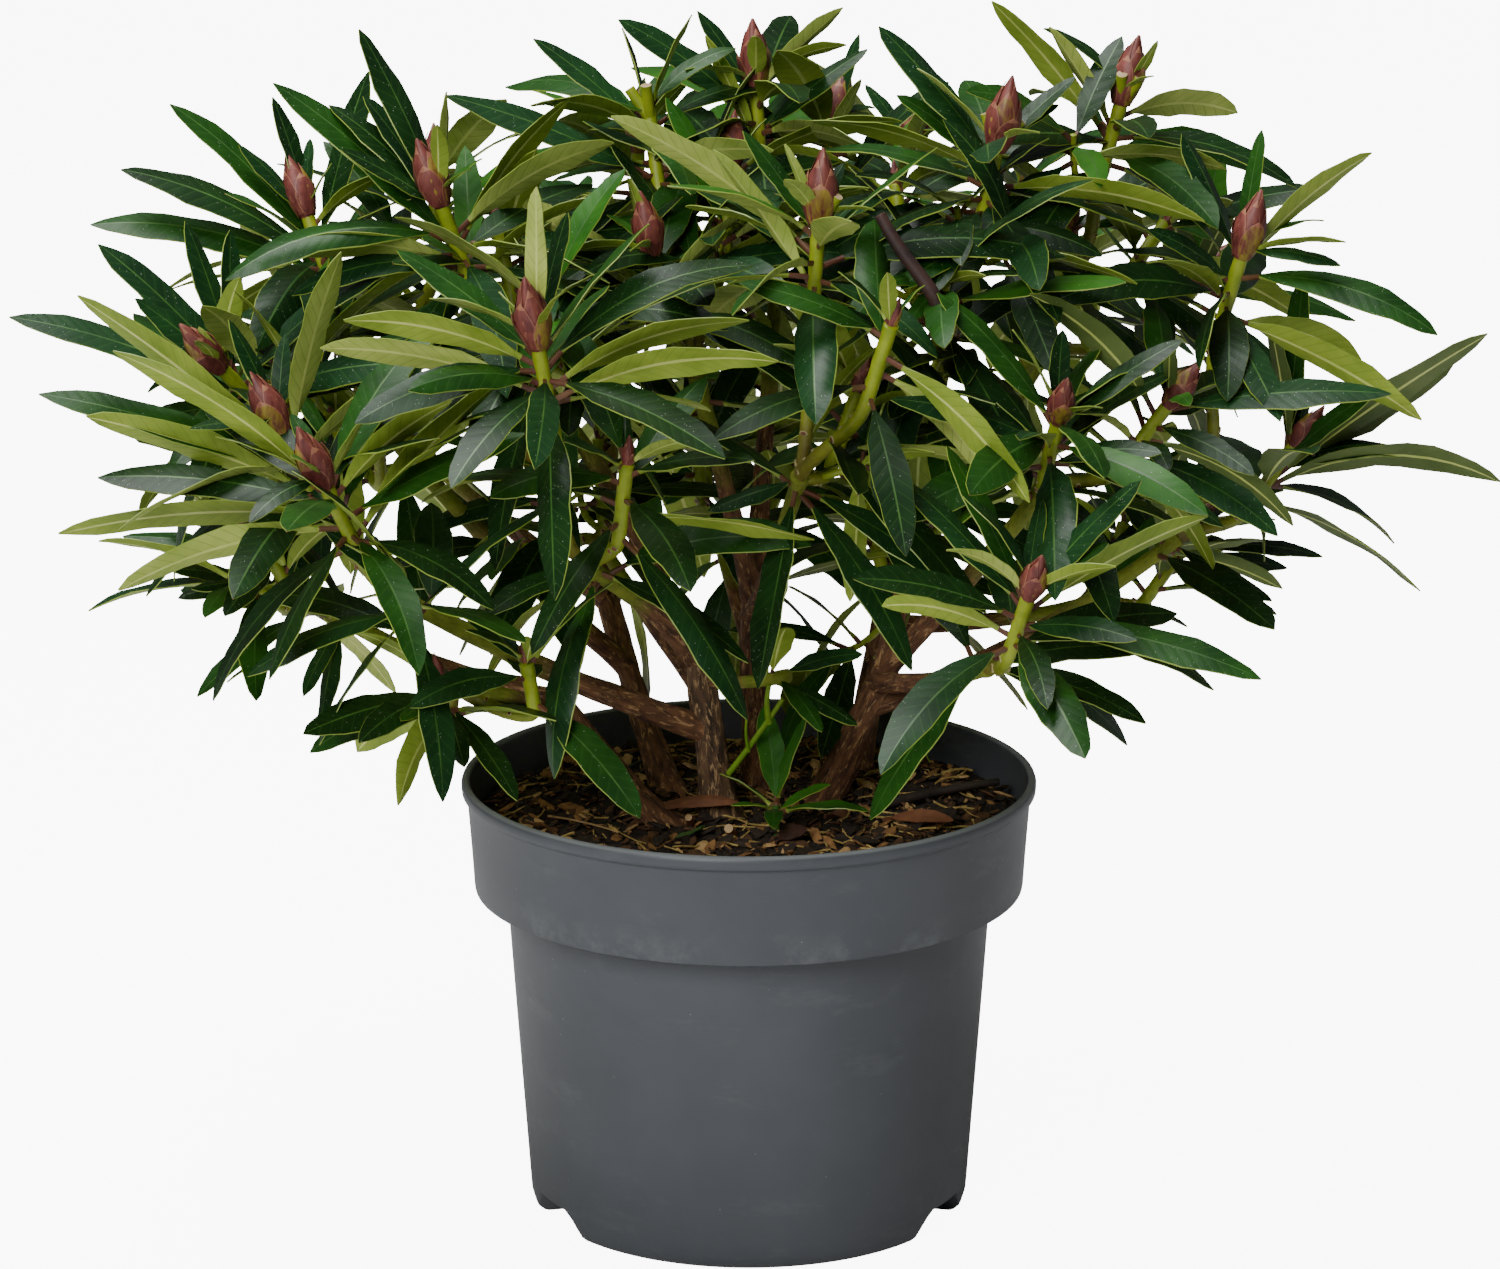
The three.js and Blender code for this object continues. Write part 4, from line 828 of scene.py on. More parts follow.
def growShoot(grown, mass, number, order, neck, along):
    # one shoot with its leaves, young leaves, side twigs, bud and stubs
    shoot = mass["shoots"][order]
    flat = shoot.get("flat", False)
    tip = np.array(shoot["tip"], float)
    axis, span, path, reach = shootLine(tip, flat, neck, along, order)
    keys = (number, order + 1)
    grown["shoots"].append(dict(path=path, key=keys))
    outer = tip[0] > 0 and math.hypot(tip[0], tip[1]) > spray["outerFrom"]
    grown["leaves"] += whorl(*keys, tip, axis, shoot["leaves"], shoot.get("placed", []), span,
                             mass.get("raised", 0), mass.get("size", 1), 1 if outer else spray["fuller"])
    grown["leaves"] += youngLeaves(*keys, tip, axis, 3 + int(2 * chance(number, order, 8, 8)))
    bare = flat or outer or tip[1] < spray["bareBefore"]
    for extra in range(0 if bare else 1 + (reach > spray["longShoot"])):
        twig, leaves = sideTwig(*keys, path, extra)
        grown["twigs"].append(twig)
        grown["leaves"] += leaves
    flower = "bud" in shoot
    length = shoot["bud"] if flower else 11 + 4 * chance(number, order, 6, 6)
    grown["buds"].append(dict(foot=tip - axis * spray["budSunk"] * flower, axis=axis, length=length,
                              flower=flower, key=keys))
    grown["stubs"] += [(tip, axis, number, stub) for stub in range(shoot.get("stubs", 0))]


def growPlant():
    # every neck, shoot, side twig, leaf, bud and stub of every spray
    grown = dict(necks={}, shoots=[], twigs=[], leaves=[], buds=[], stubs=[])
    for number, mass in enumerate(masses, 1):
        boughMiddle, boughTip = controls[mass["bough"]][1:]
        along = unit(boughTip - boughMiddle)
        neck = boughTip + along * (spray["gap"] + spray["neck"])
        placed = mass.get("collarPlaced", [])
        grown["necks"][mass["bough"]] = neck
        grown["leaves"] += whorl(number, 9, neck, along, mass["collar"] + len(placed), placed,
                                 spray["collarSpan"], mass.get("raised", 0), mass.get("size", 1))
        for order in range(len(mass["shoots"])):
            growShoot(grown, mass, number, order, neck, along)
    return grown


potSizes = dict(bearings=(-153, -27, 90), footWidth=27, roofWidth=14, roof=13, columns=168)
potOutline = [  # radius and height, from the middle of the underside up the outside and down the inside (mm)
    (20, 0), (61, 0), (61.6, 0), (94.4, 0), (96.4, 0.7), (99, 3), (100.2, 7), (100.7, 13.4), (101.4, 24),
    (104, 62), (107, 106), (109.7, 146), (110, 150.4), (110.7, 151.2), (117, 151), (123.6, 150.8),
    (124.3, 151.3), (124.6, 153), (125.4, 166), (126.4, 180), (127.5, 194.4), (127.8, 195.2), (129, 195.5),
    (129.8, 196.3), (130, 197.8), (130, 199.8), (129.5, 201.2), (128.6, 201.9), (127.3, 202), (126.4, 201.3),
    (126, 199.8), (124.4, 186), (122, 158), (108, 149), (100, 22), (97, 17), (60, 16), (20, 16)]


def makePot():
    sizes = potSizes
    roof = sizes["roof"]
    plain = np.array(potOutline, float)
    cut = plain.copy()
    # at a notch the foot's six rows rise to its roof
    cut[1:7] = [(61, 0), (61.6, roof - 1), (64, roof), (96, roof), (99.6, roof), (100.5, roof + 0.1)]
    edges = [bearing + side * width / 2 for bearing in sizes["bearings"] for side in (-1, 1)
             for width in (sizes["footWidth"], sizes["roofWidth"])]
    even = np.arange(sizes["columns"]) * 360 / sizes["columns"]
    angle = np.unique(np.concatenate([even, np.mod(edges, 360)]))
    away = np.min([np.abs((angle - bearing + 180) % 360 - 180) for bearing in sizes["bearings"]], axis=0)
    share = np.clip((sizes["footWidth"] / 2 - away) / ((sizes["footWidth"] - sizes["roofWidth"]) / 2), 0, 1)
    # radius and height(row, angle) = plain outline mixed with the notch's, plus a wobble of up to 0.45 mm
    outline = plain[:, None] * (1 - share[:, None]) + cut[:, None] * share[:, None]
    turn = np.radians(angle)
    wobble = 0.3 * np.sin(2 * turn + 0.8) + 0.15 * np.sin(3 * turn)
    radius = outline[..., 0] + wobble * ease(outline[..., 1] / 120)
    bundle = newBundle()
    addTurned(bundle, np.stack([radius * np.cos(turn), radius * np.sin(turn), outline[..., 1]], -1),
              [(0, 0, 0), (0, 0, 16)])
    piece = makePiece("pot_shell", bundle, [potMaterial()], 38)
    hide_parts("pot")


soilSizes = dict(top=186.4, edge=122.2, rough=2.6, rings=46, columns=144, foot=20, reach=119, strawReach=112,
                 chips=3000, straws=190)


def soilHeight(x, y):
    # level + two octaves of noise, falling 3 mm in the outer ring
    wide = latticeNoise(x / 17 + 40, y / 17 + 40, 4096, 1)
    fine = latticeNoise(x / 6 + 90, y / 6 + 90, 4096, 2)
    fall = 3 * ease((np.hypot(x, y) - 96) / 26)
    return soilSizes["top"] + soilSizes["rough"] * (0.6 * wide + 0.4 * fine) - fall


def makeSoil():
    # side rings(radius, height) inside the pot, then top(ring, angle) = soil height at that place
    foot = soilSizes["foot"]
    angle = 2 * np.pi * np.arange(soilSizes["columns"]) / soilSizes["columns"]
    radius = np.linspace(soilSizes["edge"], 3, soilSizes["rings"])[:, None]
    x, y = radius * np.cos(angle), radius * np.sin(angle)
    top = np.stack([x, y, soilHeight(x, y)], -1)
    side = [np.stack([r * np.cos(angle), r * np.sin(angle), np.full_like(angle, z)], -1)
            for r, z in ((40, foot), (99, foot), (107, 146), (120, 158))]
    bundle = newBundle()
    middle = [(0, 0, foot), (0, 0, float(soilHeight(np.array(0.0), np.array(0.0))))]
    addTurned(bundle, np.concatenate([np.stack(side), top]), middle)
    piece = makePiece("soil_bed", bundle, [soilMaterial()], 80)
    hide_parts("soil")


def scatter(count, seed, reach):
    # places spread evenly over a disc, and a heading for each
    turn, yaw = 2 * np.pi * chances(count, seed), 2 * np.pi * chances(count, seed + 1)
    radius = reach * np.sqrt(chances(count, seed + 2))
    return radius * np.cos(turn), radius * np.sin(turn), yaw


def addChips(bundle, count):
    # chip(row, angle) = centre + forward * length + across and thickness as a squashed ragged ring
    x, y, yaw = scatter(count, 1, soilSizes["reach"])
    size = 1.0 + 5.6 * chances(count, 4) ** 3
    tilt, lean = 1.3 * (chances(count, 5) - 0.5), 1.2 * (chances(count, 6) - 0.5)
    forward = np.stack([np.cos(yaw) * np.cos(tilt), np.sin(yaw) * np.cos(tilt), np.sin(tilt)], -1)
    sideways = unit(np.stack([-np.sin(yaw), np.cos(yaw), lean], -1))
    upward = np.cross(forward, sideways)
    centre = np.stack([x, y, soilHeight(x, y) + 0.5 + 1.6 * chances(count, 7)], -1)
    row = np.array([-1, -0.55, 0.5, 1])
    width = np.array([0.28, 0.92, 1, 0.2])[:, None]
    angle = 2 * np.pi * (np.arange(6) + 0.5) / 6
    ragged = 0.75 + 0.5 * chances(count * 24, 8).reshape(count, 4, 6)
    across = (size * (0.3 + 0.45 * chances(count, 9)))[:, None, None] * width * np.cos(angle) * ragged
    high = (size * (0.1 + 0.16 * chances(count, 10)))[:, None, None] * width * np.sin(angle) * ragged
    rings = (centre[:, None, None] + forward[:, None, None] * (size[:, None] * row)[:, :, None, None]
             + sideways[:, None, None] * across[..., None] + upward[:, None, None] * high[..., None])
    colour = np.digitize(chances(count, 11), (0.42, 0.72, 0.9))
    addShells(bundle, rings, colour[:, None, None], colour)


def addStraws(bundle, count, slot):
    # straw(row) = centre + forward * length + a sideways bow, kept inside the pot
    x, y, yaw = scatter(count, 21, soilSizes["strawReach"])
    half, bow = 3 + 15 * chances(count, 24) ** 2.4, 0.6 * (chances(count, 25) - 0.5)
    row = np.linspace(-1, 1, 6)
    east, north = np.cos(yaw)[:, None], np.sin(yaw)[:, None]
    px = x[:, None] + half[:, None] * (east * row - north * bow[:, None] * row ** 2)
    py = y[:, None] + half[:, None] * (north * row + east * bow[:, None] * row ** 2)
    reach = np.maximum(1, np.hypot(px, py) / soilSizes["reach"])
    px, py = px / reach, py / reach
    lift = 1.2 + 1.8 * chances(count, 26)[:, None] + 1.6 * (chances(count, 27) - 0.5)[:, None] * row
    path = np.stack([px, py, soilHeight(px, py) + lift], -1)
    thick = (0.3 + 0.35 * chances(count, 28))[:, None, None, None]
    angle = 2 * np.pi * np.arange(4)[:, None] / 4
    lateral = np.stack([-np.sin(yaw), np.cos(yaw), 0 * yaw], -1)[:, None, None]
    rings = path[:, :, None] + thick * (lateral * np.cos(angle) + np.array([0, 0, 1.0]) * np.sin(angle))
    addShells(bundle, rings, slot, slot)


def makeChips():
    bundle = newBundle()
    addChips(bundle, soilSizes["chips"])
    addStraws(bundle, soilSizes["straws"], 4)
    colours = [((22, 15, 9), (50, 35, 20)), ((58, 38, 20), (96, 64, 34)), ((108, 74, 38), (150, 108, 60)),
               ((156, 120, 74), (200, 164, 112)), ((124, 100, 48), (186, 158, 92))]
    materials = [chipMaterial(f"chip_{i}", rgba(*dark), rgba(*light))
                 for i, (dark, light) in enumerate(colours)]
    makePiece("soil_chips", bundle, materials, 30)


litterColours = [
    ("twig_dark", (26, 22, 20), (60, 50, 42)), ("leaf_dead", (84, 50, 32), (132, 84, 54)),
    ("leaf_purple", (34, 22, 21), (76, 48, 40)), ("leaf_fallen", (38, 74, 26), (72, 108, 44)),
    ("wood_cut", (140, 108, 68), (188, 156, 108)), ("sprig_green", (96, 136, 22), (132, 160, 36))]

fallenLeaves = [  # root, placed row, half width over length, colour
    ((-49, -26, 190), (-6, 10, 48, 40, 20), 0.09, 1),
    ((34, -28, 190), (56, 4, 44, -20, 30), 0.1, 1),
    ((12, -70, 190), (48, 10, 20, 40, 20), 0.2, 2),
    ((-20, -45, 190), (-122, 2, 22, 14, 15), 0.17, 3),
    ((-18, 2, 190), (-80, 62, 24, 20, 40), 0.17, 2),
    ((60, -34, 190), (-20, 6, 34, 30, 30), 0.12, 1)]

litterTubes = [  # control points, radius, colour, colour of the far end
    ([(57, -12, 190), (82, 6, 192), (114, 18, 193)], 2.6, 0, 0),
    ([(-76, 8, 191), (-62, 34, 192), (-50, 58, 191)], 1.2, 0, 0),
    ([(-90, -30, 191), (-72, -38, 191), (-58, -52, 190)], 0.5, 4, 4),
    ([(-7, -40, 184), (-8, -44, 188), (-9, -49, 191)], 3, 1, 4),
    ([(-25, -30, 185), (-26, -35, 190), (-27, -39, 193)], 2.4, 1, 4),
    ([(-9, -34, 212), (2, -40, 228), (15, -46, 250)], 1.5, 5, 5),
    ([(0, -40, 224), (-2, -43, 232), (-1, -45, 240)], 0.8, 5, 5),
    ([(9, -43, 238), (7, -47, 248), (9, -49, 257)], 1.5, 5, 5),
    ([(80, -86, 421), (88, -86, 440), (70, -84, 446), (56, -80, 474)], 3.8, 2, 2)]


def makeLitter():
    # dead leaves, twigs and cut stubs on the soil, a green sprig over it, a rolled dead leaf in the crown
    bundle = newBundle()
    for number, (root, row, widthShare, slot) in enumerate(fallenLeaves):
        leaf = placedLeaf(np.array(root, float), row)
        addShells(bundle, leafRings([leaf], widthShare, 400 + number)[0], slot, slot)
    for number, (corners, thick, slot, endSlot) in enumerate(litterTubes):
        path = bezierPath(corners, np.linspace(0, 1, 12))
        addTube(bundle, path, np.linspace(thick, thick * 0.7, 12), 9, slot, dome=0.1, endSlot=endSlot,
                seed=90 + number)
    materials = [plainLeafPart(name, rgba(*dark), rgba(*light), 0.6) for name, dark, light in litterColours]
    makePiece("litter", bundle, materials, 50)


def barkRelief(path, sides, cells, deep, seed):
    # ridges along the limb: noise narrow round it and long beside it, plus a finer layer and slow lumps
    along = lengthAlong(path)[:, None]
    turn = (np.arange(sides) / sides)[None]
    ridge = latticeNoise(turn * cells, along / 16, cells, seed)
    strand = latticeNoise(turn * cells * 2, along / 7, cells * 2, seed + 3)
    lump = latticeNoise(turn * 4, along / 24, 4, seed + 7)
    return deep * (0.75 * ridge + 0.4 * strand + 1.3 * lump)


def makeStems():
    # radius(share) = an even taper + a flare that dies off above the foot, and the bark's relief on it
    sizes = dict(sides=48, rows=96, slim=0.88, flare=0.8, flareLength=9)
    bundle = newBundle()
    stems = [limb for limb in limbs if limb[1] is None]
    share = np.linspace(0, 1, sizes["rows"])
    for number, (name, parent, place, end, lift, radii) in enumerate(stems):
        path = bezierPath(controls[name], share)
        length = np.linalg.norm(path[-1] - path[0])
        flare = sizes["flare"] * radii[0] * np.exp(-share * length / sizes["flareLength"])
        radius = sizes["slim"] * (radii[0] + (radii[1] - radii[0]) * share) + flare
        deep, slot = (0.8, 0) if number == 0 else (0.5, 1)
        relief = barkRelief(path, sizes["sides"], 14, deep, number)
        addTube(bundle, path, radius, sizes["sides"], slot, relief, dome=0.35, seed=number)
    dark = barkMaterial("bark_fibrous", rgba(50, 35, 24), rgba(118, 88, 60), rgba(206, 168, 118))
    red = barkMaterial("bark_reddish", rgba(66, 40, 26), rgba(136, 92, 60), rgba(196, 152, 104))
    piece = makePiece("stems_bark", bundle, [dark, red], 60)
    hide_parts(*[stem[0] for stem in stems])
    return red


def makeBoughs(grown, red):
    # radius(share) = a taper + a swelling at the foot and one at the spray's neck, and the bark's relief
    sizes = dict(sides=24, rows=56, swell=1.3, swellLength=7, tipSlim=0.88, joint=0.9, jointLength=5)
    bundle = newBundle()
    boughs = [limb for limb in limbs if limb[1] is not None]
    for number, (name, parent, place, end, lift, radii) in enumerate(boughs):
        body = bezierPath(controls[name], np.linspace(0, 1, sizes["rows"]))
        neck = body[-1] + (grown["necks"][name] - body[-1]) * np.linspace(0, 1, 7)[1:, None]
        path = np.concatenate([body, neck])
        length = np.linalg.norm(path[-1] - path[0])
        at = np.linspace(0, 1, len(path))
        radius = (radii[0] + (radii[1] * sizes["tipSlim"] - radii[0]) * np.minimum(1, at * 1.1)
                  + sizes["swell"] * np.exp(-at * length / sizes["swellLength"])
                  + sizes["joint"] * np.exp(-((1 - at) * length / sizes["jointLength"]) ** 2))
        relief = barkRelief(path, sizes["sides"], 9, 0.3, 20 + number)
        youth = ease((at - 0.3) / 0.6)
        addTube(bundle, path, radius, sizes["sides"], 0, relief, youth, seed=20 + number)
    piece = makePiece("boughs_bark", bundle, [red], 60)
    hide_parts(*[bough[0] for bough in boughs])


def makeShoots(grown):
    # radius(share) = an even taper, and on the shoots small rings besides
    sizes = dict(sides=14, foot=2.8, tip=3.2, twigFoot=1.8, twigTip=1.5)
    bundle = newBundle()
    for number, shoot in enumerate(grown["shoots"]):
        path = shoot["path"]
        at = np.linspace(0, 1, len(path))
        joints = 0.22 * np.cos(at * 2 * np.pi * (5 + number % 3)) ** 6
        radius = sizes["foot"] + (sizes["tip"] - sizes["foot"]) * at + joints
        addTube(bundle, path, radius, sizes["sides"], 0, youth=0.35 + 0.65 * at, seed=number)
    for number, twig in enumerate(grown["twigs"]):
        radius = np.linspace(sizes["twigFoot"], sizes["twigTip"], len(twig))
        addTube(bundle, twig, radius, 8, 0, youth=1, seed=number)
    addScars(bundle, grown)
    addStubs(bundle, grown)
    materials = [shootMaterial(), plainLeafPart("scar_heart", rgba(92, 52, 34), rgba(140, 88, 56), 0.6),
                 plainLeafPart("scar_rim", rgba(168, 156, 104), rgba(196, 184, 134), 0.6),
                 plainLeafPart("cut_wood", rgba(150, 124, 84), rgba(206, 186, 142), 0.7)]
    makePiece("green_shoots", bundle, materials, 50)


def addScars(bundle, grown):
    # scar(row, angle) = base on the bark + out * height(row) + ring * radius(row), flattened along the shoot
    sizes = dict(count=9, first=0.1, step=0.075, base=2.3, narrow=0.62)
    bases, outs, longs, widths = [], [], [], []
    for shoot in grown["shoots"]:
        path = shoot["path"]
        tangent, first, second = framesOf(path)
        for i in range(sizes["count"]):
            at = int((sizes["first"] + sizes["step"] * i) * (len(path) - 1))
            around = math.radians(i * spray["goldenAngle"] + 360 * chance(*shoot["key"], i, 31))
            out = first[at] * math.cos(around) + second[at] * math.sin(around)
            bases.append(path[at] + out * sizes["base"])
            outs.append(out)
            longs.append(tangent[at])
            widths.append(1.3 + 0.7 * chance(*shoot["key"], i, 32))
    bases, outs, longs = np.array(bases), np.array(outs), np.array(longs)
    sideways = np.cross(outs, longs)
    angle = 2 * np.pi * np.arange(7)[:, None] / 7
    radius = np.array([1, 1.08, 0.8, 0.3])[:, None, None]
    height = np.array([0, 0.85, 1.15, 1.0])[:, None, None]
    flat = np.array(widths)[:, None, None, None]
    ring = longs[:, None, None] * sizes["narrow"] * np.cos(angle) + sideways[:, None, None] * np.sin(angle)
    rings = bases[:, None, None] + outs[:, None, None] * height + flat * radius * ring
    addShells(bundle, rings, np.array([2, 2, 1])[:, None], 1)


def addStubs(bundle, grown):
    # cut stubs beside a bud, leaning out from the shoot, with a pale cut end
    sizes = dict(lean=0.55, sunk=5, length=17, radius=2.5)
    for tip, axis, mass, number in grown["stubs"]:
        around = 2 * math.pi * (number / 3 + chance(mass, number, 5, 3))
        heading = unit(axis + sizes["lean"] * roundAxis(axis, around))
        path = (tip - sizes["sunk"] * axis) + heading * np.linspace(0, sizes["length"], 7)[:, None]
        addTube(bundle, path, np.full(7, sizes["radius"]), 12, 0, youth=0.75, dome=0.02, endSlot=3,
                seed=mass + number)


def budOutline(climb, widest):
    # radius over length: rises from the neck to the widest point at 0.38 and tapers nearly to a point at 1
    below = np.clip((climb + 0.14) / 0.52, 0, 1)
    above = np.clip((climb - 0.38) / 0.64, 0, 1)
    return widest * np.where(climb < 0.38, 0.42 + 0.58 * np.sin(below * np.pi / 2), 1 - 0.96 * above ** 1.3)


budScale = dict(share=np.array([0, 0.26, 0.5, 0.72, 0.88, 1.0]),
                width=np.array([0.75, 1.0, 0.96, 0.76, 0.46, 0.04]),
                across=np.array([1, 0.9, 0, -0.9, -1, -0.4, 0.4]),
                inside=np.array([0, 0, 0, 0, 0, 1, 1]))


def addBud(bundle, bud, count, widest):
    # scale(s, u): height along the bud rises with s, angle round it widens with u, radius follows the
    # outline; later scales sit higher and closer in, round a core
    length, share, across = bud["length"], budScale["share"], budScale["across"]
    first, second = crossFrame(bud["axis"])
    order = np.arange(count) / (count - 1)
    turn = np.radians(np.arange(count) * spray["goldenAngle"]) + 6.28 * chance(*bud["key"], 3, 41)
    low = -0.08 + 0.16 * order
    high = 0.48 + 0.52 * order ** 0.8
    climb = low[:, None] + (high - low)[:, None] * share
    wide = (0.92 - 0.12 * order)[:, None, None] * budScale["width"][:, None]
    angle = turn[:, None, None] + wide * across
    lift = (1 - order)[:, None] * 1.2 * (0.3 + 0.7 * share ** 2) * (length / 30)
    radius = (length * budOutline(climb, widest) + lift)[..., None]
    radius = radius - 0.4 * budScale["inside"] + 0.2 * (1 - across ** 2)
    ring = first * np.cos(angle)[..., None] + second * np.sin(angle)[..., None]
    rings = bud["foot"] + bud["axis"] * (climb * length)[..., None, None] + ring * radius[..., None]
    tone = ((np.arange(count) % 4 == 1) & (order < 0.7)).astype(int)
    slots = np.broadcast_to(tone[:, None, None], (count, 5, 7)).copy()
    slots[:, 4] = 2
    slots[:, :, [0, 3]] = 2
    addShells(bundle, rings, slots, tone)
    core = np.linspace(-0.08, 1, 12)
    addTube(bundle, bud["foot"] + bud["axis"] * core[:, None] * length,
            budOutline(core, widest) * length * 0.9, 10, 0)


def makeBuds(grown):
    sizes = dict(flower=(10, 0.24), leaf=(5, 0.19))  # scales, and the widest radius over the length
    bundle = newBundle()
    for bud in grown["buds"]:
        addBud(bundle, bud, *sizes["flower" if bud["flower"] else "leaf"])
    materials = [budMaterial("bud_skin", rgba(92, 38, 36), rgba(136, 72, 62)),
                 budMaterial("bud_streaked", rgba(104, 46, 40), rgba(160, 140, 44)),
                 budMaterial("bud_edge", rgba(132, 76, 60), rgba(170, 116, 84))]
    makePiece("buds", bundle, materials, 50)


leafRows = dict(share=np.array([0, 0.06, 0.12, 0.17, 0.23, 0.31, 0.4, 0.5, 0.6, 0.7, 0.79, 0.87, 0.94, 1]),
                width=np.array([0.12, 0.1, 0.1, 0.28, 0.5, 0.77, 0.92, 1, 1, 0.94, 0.82, 0.65, 0.41, 0.03]),
                across=np.array([1, 0.972, 0.05, -0.05, -0.972, -1, -0.09, 0.09]),
                level=np.array([0, 0.5, 0.5, 0.5, 0.5, 0, -0.5, -0.5]),
                rib=np.array([0, 0, 0, 0, 0, 0, -1, -1]))


leafSizes = dict(leastHalf=3, mostHalf=10.5, stalk=2.4, blade=0.75, rib=0.9, uneven=0.05, wave=0.07,
                 uvUnit=20)


def leafRings(leaves, widthShare=0.108, seed=0):
    # spine(s): the rise falls evenly from the root, so reach and climb are sines and cosines of it
    # ring(s, u) = spine(s) + across * u * half(s)
    #     + up * (half(s) * (fold * |u| - curl * u^2 + wave) + thickness + rib), the rib deeper near the root
    names = ("bearing", "rise", "length", "fall", "roll")
    values = np.array([[leaf[name] for leaf in leaves] for name in names], float)
    bearing, rise, length, fall, roll = values[..., None]
    root = np.array([leaf["root"] for leaf in leaves], float)

    def drawn(key, low, extra):
        return low + extra * chances(len(leaves), key + seed)[:, None]

    s = leafRows["share"]
    fall = np.maximum(np.abs(fall), 1e-3)
    angle = rise - fall * s
    reach = length / fall * (np.sin(rise) - np.sin(angle))
    climb = length / fall * (np.cos(angle) - np.cos(rise))
    east, north = np.cos(bearing), np.sin(bearing)
    side = np.stack([-north, east, 0 * east], -1)
    sway = drawn(50, -0.08, 0.16) * length * s ** 2
    spine = root[:, None] + np.stack([reach * east, reach * north, climb], -1) + side * sway[..., None]
    normal = np.stack([-np.sin(angle) * east, -np.sin(angle) * north, np.cos(angle)], -1)
    roll = (roll * ease(s / 0.22) * (1 + drawn(51, -0.15, 0.3) * s))[..., None]
    across = np.cos(roll) * side + np.sin(roll) * normal
    up = np.cos(roll) * normal - np.sin(roll) * side
    uneven = 1 + leafSizes["uneven"] * np.sin(s * 25 + drawn(56, 0, 6))
    wide = widthShare * drawn(52, 0.88, 0.26) * length
    wide = np.clip(wide, leafSizes["leastHalf"], leafSizes["mostHalf"])
    half = (wide * leafRows["width"] * uneven)[..., None]
    blade = ease((s - 0.09) / 0.12)[None, :, None]
    thick = leafSizes["stalk"] * (1 - blade) + leafSizes["blade"] * blade
    u = leafRows["across"]
    fold = drawn(53, 0.02, 0.34)[..., None]
    curl = drawn(54, 0.1, 0.26)[..., None]
    phase = (s * 14 + drawn(55, 0, 6))[..., None] + 2.2 * (u > 0)
    wave = leafSizes["wave"] * np.sin(phase) * np.abs(u)
    ribDepth = (leafSizes["rib"] * (1 - s))[None, :, None] * blade
    height = half * blade * (fold * np.abs(u) - curl * u ** 2 + wave)
    height = height + thick * leafRows["level"] + ribDepth * leafRows["rib"]
    rings = (spine[:, :, None] + across[:, :, None] * (half * u)[..., None]
             + up[:, :, None] * height[..., None])
    uv = np.stack(np.broadcast_arrays(half * u, (length * s)[..., None]), -1) / leafSizes["uvUnit"]
    return rings, uv.reshape(-1, 2)


def leafSlots(tops, unders):
    # strips in ring order: margin, top half, rib, top half, margin, under half, under rib, under half
    margin, rib, underRib = 0 * tops + 1, 0 * tops + 2, 0 * tops + 9
    strips = np.stack([margin, tops, rib, tops, margin, unders, underRib, unders], -1)
    slots = np.repeat(strips[:, None], leafRows["share"].size - 1, axis=1)
    slots[:, :2] = 0
    return slots


def topMaterial(name, dark, light, roughness, dust):
    return bladeMaterial(name, dark, light, roughness, dust, rgba(74, 112, 48), 0.16)


def underMaterial(name, dark, light, strength=0.4):
    return bladeMaterial(name, dark, light, 0.55, 0.01, rgba(96, 124, 40), strength)


def leafMaterials():
    # by slot: stalk, margin and rib at 0 to 2, tops at 3 to 6, undersides at 7 and 8 and a painted-shade
    # underside at 10, and their rib at 9
    return [plainLeafPart("leaf_stalk", rgba(96, 50, 42), rgba(112, 78, 48), 0.5),
            plainLeafPart("leaf_margin", rgba(114, 138, 44), rgba(150, 168, 66), 0.45),
            plainLeafPart("leaf_rib", rgba(36, 76, 24), rgba(62, 102, 36), 0.42),
            topMaterial("leaf_deep", rgba(8, 34, 9), rgba(20, 54, 17), 0.4, 0.045),
            topMaterial("leaf_blue", rgba(11, 42, 17), rgba(25, 64, 28), 0.4, 0.045),
            topMaterial("leaf_mid", rgba(14, 52, 10), rgba(32, 78, 18), 0.41, 0.03),
            topMaterial("leaf_bright", rgba(26, 76, 12), rgba(50, 104, 22), 0.42, 0.02),
            underMaterial("leaf_under", rgba(126, 150, 46), rgba(162, 182, 70)),
            underMaterial("leaf_under_pale", rgba(152, 174, 70), rgba(192, 206, 106)),
            plainLeafPart("leaf_under_rib", rgba(198, 212, 104), rgba(220, 228, 132), 0.5),
            # painted shade: a darker, greyer underside for the low sprays at the right, standing in for
            # their shadow
            underMaterial("leaf_under_painted_shade", rgba(84, 104, 48), rgba(112, 130, 70), 0.3)]


def makeLeaves(grown):
    leaves = grown["leaves"]
    rings, uv = leafRings(leaves)
    uv = uv.reshape(len(leaves), -1, 2)
    key = np.array([leaf["key"] for leaf in leaves])
    age = np.array([leaf["age"] for leaf in leaves])
    tops = 3 + np.digitize(key * 0.75 + (1 - age) * 0.25, (0.42, 0.62, 0.84))
    root = np.array([leaf["root"] for leaf in leaves])
    # painted shade: the low sprays at the right take the darker underside, as if in shadow
    painted_shade_right = (root[:, 0] > 170) & (root[:, 2] < 400)  # the low sprays at the right
    unders = np.where(painted_shade_right, 10, 7 + (key > 0.55))
    materials = leafMaterials()
    half = len(leaves) // 2
    for name, pick in (("leaves_one", slice(0, half)), ("leaves_two", slice(half, len(leaves)))):
        bundle = newBundle()
        addShells(bundle, rings[pick], leafSlots(tops[pick], unders[pick]), 0, uv[pick].reshape(-1, 2))
        piece = makePiece(name, bundle, materials, 50)
        if name == "leaves_one":
            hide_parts(*[mass["name"] for mass in masses], "sprout")
    return materials


